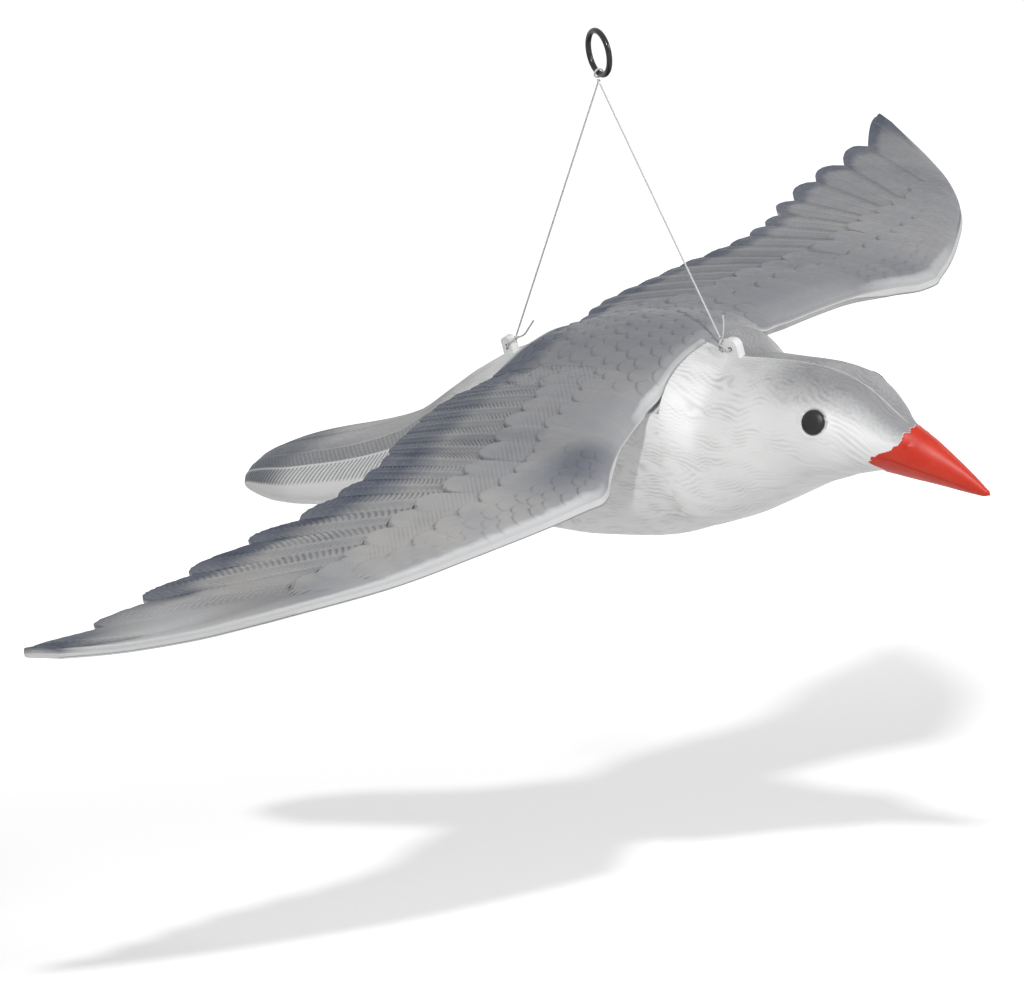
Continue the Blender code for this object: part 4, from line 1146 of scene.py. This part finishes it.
def makeLugs():
    # Each lug is two moulded tabs on the seam, with a hole and softened edges.
    half = lug["thickness"] / 2
    layers = (-1.0, -0.86, 0.86, 1.0)
    quarter = math.pi / 2
    for label, tab in lugs.items():
        end = tab["length"] / 2
        corner = min(end, lug["top"]) * lug["corner"]
        outline = [(-end, -lug["root"])]
        for middle, start in ((corner - end, math.pi), (end - corner, quarter)):
            for k in range(9):
                t = start - quarter * k / 8
                outline.append((middle + corner * math.cos(t), lug["top"] - corner + corner * math.sin(t)))
        outline.append((end, -lug["root"]))
        points = []
        for share in layers:
            inset = lug["softening"] if abs(share) == 1.0 else 0.0
            for u, v in outline:
                reach = math.hypot(u, v)
                k = (reach - inset) / reach
                points.append((tab["at"] + u * k, share * half, v * k))
        hole = lug["hole"] / 2
        for share in layers:
            wide = 1.12 if abs(share) == 1.0 else 1.0
            for u, v in outline:
                t = math.atan2(v, u)
                ahead = tab["at"] + hole * math.cos(t) * wide
                points.append((ahead, share * half, hole * math.sin(t) * wide))
        count = len(outline)
        turns = [(k, (k + 1) % count) for k in range(count)]
        faces = []
        for a in range(0, 3 * count, count):
            b = a + 4 * count
            for k, after in turns:
                faces.append((a + k, a + after, a + count + after, a + count + k))
                faces.append((b + k, b + count + k, b + count + after, b + after))
        for a, way in ((0, 1), (3 * count, -1)):
            b = a + 4 * count
            faces += [(a + k, b + k, b + after, a + after)[::way] for k, after in turns]
        plain = {"cavity": np.zeros(len(points))}
        made = addMesh("lug" + label, toWorld(points), faces, (bodyMaterial,), plain)
        settle(made, "bird", "body_plastic", "body_shell_left", "body_shell_right", sharp=40)


makeEyes()
makeLugs()
print("eyes and lugs made")

# Wing set

relief = {
    "step": (0.70, 0.16),  # far wing, near wing
    "lobe": 0.16,
    "groove": (0.36, 0.05),
    "shaft": 0.24,
    "barb": 0.72,
    "covert": 1.15,
    "scale": 0.85,
    "saddleScale": 0.78,
    "scalesFrom": 92,  # distance out
    "farBarbs": 0.35,  # share of the near wing's
}

# tips of the two rows of large coverts, x and distance out
covertTips = (
    ((53, 43.5), (59, 54), (61, 65.5), (61.5, 78), (66, 90), (67.4, 103), (71.5, 118)),
    ((71, 132), (68.8, 148), (65.5, 161.5), (64.4, 176), (63.5, 189.5), (61, 202), (56, 213)),
    ((76.6, 46), (79.4, 55), (81.5, 67), (82.5, 78), (86, 88), (91, 97), (92.9, 105)),
    ((93.8, 113.5), (94.2, 124.5), (92.8, 136.5), (91.5, 149), (88, 160.5), (85.8, 172.3)),
    ((82.5, 184), (75, 196)),
)
# width, length and share of the height of each of these groups
covertSizes = (
    (13.6, 31.0, 1.0),
    (13.6, 31.0, 1.0),
    (12.6, 27.0, 0.95),
    (12.8, 27.0, 1.0),
    (12.0, 27.0, 0.9),
)

# chord share of each row of small scales near the leading edge, then spacing, width and length
scaleRows = ((0.175, 7.6, 8.2, 12.0), (0.115, 6.6, 7.4, 9.0), (0.06, 6.4, 7.2, 7.0))
scaleRun = (42, 158)  # where each row starts, distance out, and how far it runs

# the saddle's scales, laid like bricks
bricks = {
    "rows": 10,
    "firstX": 21,
    "rowPitch": 8.6,
    "pitch": 8.2,
    "reach": 42,  # to either side
    "width": 8.8,
    "length": 13.0,
}

tone = {
    "nearStrip": 30.0,  # width of the dark strip along the trailing edge
    "farStrip": 15.0,
    "stripDark": 0.95,
    "cornerDark": 0.80,
    "streakDark": 0.52,
    "valleyDark": 0.34,
    "innerDark": 0.34,
    "rearDark": 0.7,
    "tipDark": 0.75,
    "primaryDark": (0.25, 0.38),  # far wing, near wing
    "tipLight": (0.12, 0.42),
    # painted shade over the far wing
    "farShade": (0.22, 0.24),  # over the whole far wing, and more of it further out
    "saddleDark": 0.56,
    "bandWidth": 2.8,  # white along the leading edge
}


def featherEdge(outer, feather, share):
    tipShare = 0.3
    base = [blend(outer[k], feather[2 + k], share) for k in (0, 1)]
    foot = [blend(outer[k], feather[2 + k], tipShare) for k in (0, 1)]
    skew = math.log(0.5) / math.log(tipShare)
    bump = np.clip(np.sin(math.pi * share**skew), 0, 1) ** 0.8
    return base[0] + (feather[0] - foot[0]) * bump, base[1] + (feather[1] - foot[1]) * bump


def wingLines():
    # lines from the leading edge to the trailing edge, a few for each feather
    frontX, frontY, backX, backY, across, number = [], [], [], [], [], []
    outer = (-12.0, 282.8, 282.8)
    for k, feather in enumerate(feathers):
        count = 28 if k == 0 else (19 if k < 6 else 15)
        share = np.append(np.linspace(0, 1, count, endpoint=False), 0.982)
        if k == 0:
            share = np.concatenate(((0.012, 0.03, 0.06, 0.09), np.linspace(0.125, 1, count, endpoint=False)))
        x, y = featherEdge(outer, feather, share)
        out = blend(outer[2], feather[4], share)
        frontX += curveThrough(leading, out, 1).tolist()
        frontY += out.tolist()
        backX += x.tolist()
        backY += y.tolist()
        across += share.tolist()
        number += [k] * len(share)
        outer = feather[2:]
    for t in np.linspace(0, 1, wing["saddleLines"]):
        y = blend(outer[1], 0.0, t)
        frontY.append(blend(outer[2], 0.0, t))
        frontX.append(wing["saddleFront"])
        backX.append(float(curveThrough(trailing, y, 1)) if t > 0 else outer[0])
        backY.append(y)
        across.append(0.0)
        number.append(len(feathers))
    return [np.array(v) for v in (frontX, frontY, backX, backY, across, number)]


def covertHeights(x, y):
    # overlapping rounded coverts, each highest at its tip, then the saddle's brick-like ones
    height = np.zeros_like(x)
    rim = np.zeros_like(x)
    covered = np.zeros_like(x)
    rng = np.random.default_rng(11)

    def dome(tipX, tipY, wide, long, tall, turn):
        near = (np.abs(x - tipX - long / 2) < long * 0.75 + 3) & (np.abs(y - tipY) < wide + long * 0.5)
        i = np.nonzero(near)
        dx = x[i] - tipX
        dy = y[i] - tipY
        a = dx * math.cos(turn) + dy * math.sin(turn)
        b = -dx * math.sin(turn) + dy * math.cos(turn)
        reach = wide * 0.62
        rounded = np.clip(1 - ((reach - np.clip(a, 0, reach)) / reach) ** 2, 0, 1)
        inside = np.minimum(wide / 2 * np.sqrt(rounded) - np.abs(b), a)
        crest = 1 - 0.25 * np.clip(np.abs(b) / (wide / 2), 0, 1) ** 2
        shape = tall * np.clip(1 - a / long, 0, 1) ** 0.9 * crest * ramp(inside, -0.1, 0.35)
        better = shape > height[i]
        height[i] = np.maximum(height[i], shape)
        # painted shade line along each covert's edge, heavier on the side towards the wing tip
        tipward = 0.25 + 0.75 * ramp(b / wide, -0.45, 0.1)
        line = bell(inside + 0.3, 0.42) * np.clip(1.1 - a / (long * 0.5), 0, 1) * tipward * tall
        rim[i] = np.where(better & (inside > 0.3), rim[i] * 0.15, np.maximum(rim[i], line))
        covered[i] = np.maximum(covered[i], (inside > 0) * np.clip(1 - a / long, 0, 1) * min(tall, 1))

    for tips, (wide, long, tall) in zip(covertTips, covertSizes):
        for tipX, tipY in tips:
            fan = 0.04 + 0.62 * float(ramp(tipY, 95, 225))  # the outer coverts point along the primaries
            dome(tipX, tipY, wide, long, tall * relief["covert"], -fan)
    for share, spacing, wide, long in scaleRows:
        for k in range(int(scaleRun[1] / spacing)):
            out = scaleRun[0] + k * spacing + rng.uniform(-0.9, 0.9)
            if out < relief["scalesFrom"]:
                continue
            front = float(curveThrough(leading, out, 1))
            rear = float(curveThrough(trailing, out, 1))
            here = share * (1 - 0.45 * float(ramp(out, 140, 200))) + rng.uniform(-0.008, 0.008)
            fade = 0.8 * (1 - 0.5 * float(ramp(out, 130, 190)))
            turn = -0.9 * float(ramp(out, 95, 190))
            dome(front - (front - rear) * here, out, wide, long, relief["scale"] * fade, turn)
    for k in range(bricks["rows"]):
        for m in range(-5, 6):
            tipX = bricks["firstX"] + k * bricks["rowPitch"] + rng.uniform(-1.6, 1.6)
            tipY = (m + 0.5 * (k % 2)) * bricks["pitch"] + rng.uniform(-1.0, 1.0)
            if abs(tipY) < bricks["reach"]:
                dome(tipX, tipY, bricks["width"], bricks["length"], relief["saddleScale"], 0.0)
    return height, np.clip(rim, 0, 1), covered


def wingSurface():  # x, y, share across the feather, the feather's number, share from the leading edge
    frontX, frontY, backX, backY, across, number = wingLines()
    share = np.linspace(0, 1, wing["columns"]) ** 1.12
    x = blend(frontX[:, None], backX[:, None], share[None])
    y = blend(frontY[:, None], backY[:, None], share[None])
    s = np.repeat(across[:, None], len(share), axis=1)
    k = np.repeat(number[:, None], len(share), axis=1)
    v = np.repeat(share[None], len(across), axis=0)
    return x, y, s, k, v


def wingRelief(x, y, s, k, v, near):
    coverts, rim, covered = covertHeights(x, y)
    flight = (k < len(feathers)).astype(float)
    shown = ramp(v, 0.14, 0.30) * flight * (1 - 0.9 * np.clip(covered * 4, 0, 1))
    step = np.hypot(np.gradient(x, axis=0), np.gradient(y, axis=0))
    wide = np.ones_like(x)
    for feather in range(len(feathers)):
        lines = np.nonzero(k[:, 0] == feather)[0]
        wide[lines] = np.maximum(step[lines].sum(axis=0), 0.5)
    inner = (k > 0) | (s > 0.5)
    fromLine = np.minimum(s, 1 - s) * wide
    ends = np.where(k == 0, ramp(s, 0.0, 0.06), 1.0)
    groove = np.exp(-((fromLine / (0.5 if near else 1.15)) ** 2)) * flight * inner
    lobe = 0.45 - np.abs(2 * s - 1) ** 2.4
    grow = 0.45 + 0.55 * ramp(v, 0.3, 0.9)
    raised = relief["lobe"] * lobe * ends - relief["groove"][int(near)] * groove
    raised = raised + relief["step"][int(near)] * (0.5 - s) * ends
    shaftAt = np.where(k == 0, 0.40, 0.30)
    fromShaft = (s - shaftAt) * wide
    shaft = bell(fromShaft, 0.45) * flight * fade(v, 0.93, 1.0)
    height = shown * grow * raised + shown * relief["shaft"] * shaft
    chord = np.hypot(x[:, :1] - x, y[:, :1] - y)
    toEdge = chord[:, -1:] - chord

    # barbs lean towards the tip on both vanes, and the outer feathers' are coarser
    coarse = np.where(fromShaft > 0, 0.53, 0.84)
    along = blend(2.05, 2.55, ramp(y, 130, 170)) * np.where(fromShaft > 0, 1.0, 1.15)
    phase = (chord - coarse * np.abs(fromShaft)) / along
    patch = 0.75 + 0.25 * valueNoise(x / 11 + 5, y / 7, 21)
    vane = np.where(fromShaft > 0, 1.0, np.where(k == 0, 1.0, 0.8))
    vane = np.where((k == 0) & (fromShaft > 0), 0.4, vane)
    mask = shown * patch * vane * ramp(np.abs(fromShaft), 0.3, 0.9) * ramp(fromLine, 0.2, 0.8) * ends
    mask *= 1 - 0.35 * fade(toEdge, 3, 14)
    under = np.clip(covered * 3, 0, 1) * flight
    covertPhase = (0.743 * x - 0.669 * y) / 1.75
    onCovert = under > 0.25
    phase = np.where(onCovert, covertPhase, phase)
    between = ramp(v, 0.22, 0.34) * fade(covered, 0.55, 0.8)
    between = between * (0.7 + 0.3 * valueNoise(x / 6, y / 9, 22))
    mask = np.where(onCovert, 0.42 * between * under, mask)
    rimFade = ramp(v, 0.0, 0.012)
    height = (height + coverts) * rimFade * (1 - (1 - flight) * ramp(x, 99, 103.5))
    crest = np.clip(shaft * shown * 0.7, 0, 1)
    # painted shade marks on the covert edges and in the feather grooves, much more of them on the far wing
    marks = np.clip(rim + groove * shown * (0.15 if near else 1.0), 0, 1)
    return height, phase * wing["barbPitch"], mask * rimFade, marks, crest, chord, toEdge


def wingColours(x, y, k, chord, toEdge, left):
    flight = (k < len(feathers)).astype(float)
    cloudy = valueNoise(x / 17 + 3, y / 10 + 9, 31)
    streaky = valueNoise(x / 24 + 8, y / 3.2 + 5, 32)
    strip = tone["farStrip"] if left else tone["nearStrip"]
    reach = strip * blend(1.0, 0.85, ramp(y, 110, 160)) + 3.0 * cloudy + 2.0 * streaky
    dark = fade(toEdge, reach * 0.50, reach * 1.30) * tone["stripDark"]
    # painted shade at the wing's bend, mostly on the near wing
    corner = blob(x, y, 116, 104, 17, 27) * tone["cornerDark"] * (0.15 if left else 1.0)
    streak = np.exp(-(((y - 92 - 0.12 * (65 - x)) / 9.0) ** 2)) * ramp(x, 30, 48) * fade(x, 86, 100)
    # painted shade along the valley where the wing rises from the back
    valley = bell(y - 44, 9.0) * tone["valleyDark"]
    inner = fade(y, 95, 150) * tone["innerDark"]
    rear = bell(y, 40.0) * fade(x, 14, 42) * tone["rearDark"]
    lineX = 0.82 * (x - 52) - 0.57 * (y - 221)
    offLine = 0.57 * (x - 52) + 0.82 * (y - 221)
    primary = blob(lineX, offLine, 0.0, 0.0, 26.0, 9.0) * tone["primaryDark"][1 - left]
    tip = ramp(y, 264, 281) * tone["tipDark"]
    # painted shade: the far wing is darkened all over, more of it further out
    shadeWash, moreShade = tone["farShade"]
    far = (shadeWash + moreShade * ramp(y, 90, 250)) * flight if left else 0.0
    saddle = tone["saddleDark"] * fade(y, 30, 46) * (1 - ramp(y, 8, 34) * 0.3)
    dark = np.maximum.reduce((dark, corner, streak * tone["streakDark"], valley, rear, primary, tip, inner))
    dark = np.maximum(dark, saddle) * (1 - far) + far + 0.05 * cloudy + 0.03 * streaky
    tipPatch = blob(x, y, 16, 250, 24, 17)
    lightEnd = tipPatch * tone["tipLight"][1 - left]
    if left:
        band = fade(chord, 1.0, 4.0) * 0.55 * fade(np.abs(y - 116), 12, 42)
        line = fade(chord, 0.2, 1.4) * ramp(y, 150, 175)
        dark = np.maximum(dark, 0.9 * line)
    else:
        dark *= 1 - 0.85 * tipPatch
        scallop = 1.0 + 0.35 * valueNoise(y / 3.2, x / 9, 33)
        wide = tone["bandWidth"] * scallop * blend(0.55, 1.0, ramp(y, 130, 170))
        wide = wide * blend(1, 1.5, ramp(y, 215, 250))
        band = fade(chord, wide * 0.3, wide * 2.1) * ramp(y, 100, 130) * fade(y, 272, 284)
    pale = np.clip(np.maximum(band, lightEnd) * flight, 0, 1)
    front = fade(np.abs(y - 60), 14, 34) * fade(chord, 5, 16) * 0.16
    if not left:
        front = np.maximum(front, 0.85 * fade(chord, 0.8, 2.6) * fade(y, 50, 66))
    saddleRim = (1 - flight) * ramp(x, 94, 103) * 0.22
    rearRim = fade(toEdge, 0.8, 2.6) * fade(y, 16, 26) * 0.75 * (1 - flight)
    pale = np.maximum.reduce((pale, front, saddleRim, rearRim))
    return np.clip(dark, 0, 1) * (1 - pale), pale


def barbTree(sizes):
    w, given = newTree("feather barbs", sizes)
    phase = w.maths("DIVIDE", w.named("barbPhase"), given["Pitch"])
    wave = w.maths("SINE", w.maths("MULTIPLY", phase, 2 * math.pi))
    height = w.maths("MULTIPLY", w.maths("SUBTRACT", wave, 1.0), w.named("barbMask"))
    height = w.maths("MULTIPLY", height, w.maths("MULTIPLY", given["Depth"], 0.5))
    offset = w.vectorMaths("SCALE", 0, {0: w.node("GeometryNodeInputNormal"), "Scale": height})
    moved = w.node("GeometryNodeSetPosition", 0, {"Geometry": given["Geometry"], "Offset": offset})
    return finishTree(w, moved, wingMaterial)


barbSizes = {"Pitch": wing["barbPitch"], "Depth": relief["barb"] / 1000}
barbNodes = barbTree(barbSizes)


def shellPiece(name, sheets, coarse, attributes, sideways):
    # sheets: x, y, height of the visible sheet, and of the hidden one on the coarse columns
    x, y, seen, hidden = sheets
    upper = "barbMask" in attributes
    rows, columns = x.shape
    few = len(coarse)
    start = rows * columns
    front = np.stack((x, y, seen), axis=-1).reshape(-1, 3)
    back = np.stack((x[:, coarse], y[:, coarse], hidden[:, coarse]), axis=-1).reshape(-1, 3)
    points = np.concatenate((front, back))
    points[:, 1] *= sideways
    faces = gridFaces(rows, columns) + gridFaces(rows, few, start, flip=True)
    for i in range(rows - 1):
        a, b = i * columns, (i + 1) * columns
        c, d = start + i * few, start + (i + 1) * few
        faces.append((a, b, d, c))
        faces.append((b + columns - 1, a + columns - 1, c + few - 1, d + few - 1))
    faces.append(tuple(range(columns - 1, -1, -1)) + tuple(range(start, start + few)))
    last = start - columns
    lastFew = start + (rows - 1) * few
    faces.append(tuple(range(last, start)) + tuple(range(lastFew + few - 1, lastFew - 1, -1)))
    fields = {}
    for key, field in attributes.items():
        behind = field[:, coarse].ravel() if key == "pale" else np.zeros(rows * few)
        fields[key] = np.concatenate((field.ravel(), behind))
    made = addMesh(name, toWorld(points), faces, (wingMaterial if upper else whiteMaterial,), fields)
    if upper:
        made = bake(made, barbNodes, barbSizes)
        settle(made, "bird", "wing_grey", "wing_shell_upper", sharp=55)
    else:
        settle(made, "bird", "wing_white", "wing_shell_lower", sharp=55)


def makeWings():
    x, y, s, k, v = wingSurface()
    parting = wingParting(x, y)
    flight = k < len(feathers)
    borders = ((slice(None), 0), (slice(None), -1), (0, slice(None)))
    columns = x.shape[1]
    coarse = np.unique(np.linspace(0, columns - 1, wing["coarseColumns"]).round().astype(int))
    dense = (np.linspace(0, 1, wing["lowerColumns"]) * (columns - 1)).round().astype(int)
    pick = np.unique(np.concatenate((np.arange(0, 12, 2), dense)))
    lowerCoarse = np.unique(np.linspace(0, len(pick) - 1, wing["coarseColumns"]).round().astype(int))
    for sideways, label in ((1, "Left"), (-1, "Right")):
        near = sideways < 0
        height, barbPhase, barbMask, marks, crest, chord, toEdge = wingRelief(x, y, s, k, v, near)
        top = wingTop(x, y) + height
        under = np.maximum(parting + wing["partingGap"] / 2, wingTop(x, y) - wing["wall"])
        for edge in borders:
            under[edge] = parting[edge] + wing["partingGap"] / 2
        top = np.maximum(top, under + 0.15)
        dark, pale = wingColours(x, y, k, chord, toEdge, not near)
        barbs = barbMask * (1.0 if near else relief["farBarbs"]) * (1 - 0.5 * pale)
        fields = {"barbPhase": barbPhase, "barbMask": barbs, "cavity": marks * (1 - 0.5 * pale)}
        fields.update({"crest": crest, "dark": dark, "pale": pale})
        shellPiece("wingUpper" + label, (x, y, top, under), coarse, fields, sideways)

        # the lower shell's edge slopes away under the root, so that the body shows up to the wing
        bottom = wingBottom(x, y) - 0.35 * height * ramp(v, 0.3, 0.6)
        root = fade(y, 76, 96)
        rise = blend(0.6, 3.5, root) * fade(v, 0.0, blend(0.02, 0.05, root))
        bottom = np.minimum(bottom + rise * flight, parting - 0.4)
        lowerTop = np.minimum(parting - wing["partingGap"] / 2, bottom + wing["wall"])
        for edge in borders:
            lowerTop[edge] = parting[edge] - wing["partingGap"] / 2
        sheets = [sheet[:, pick] for sheet in (x, y, bottom, lowerTop)]
        rimShade = (np.arange(columns)[pick] == 0) * np.ones((len(x), 1)) * flight[:, pick]
        shade = {"cavity": np.clip(marks[:, pick] * 0.5, 0, 1), "rim": rimShade}
        shellPiece("wingLower" + label, sheets, lowerCoarse, shade, sideways)


makeWings()
print("wing set made")
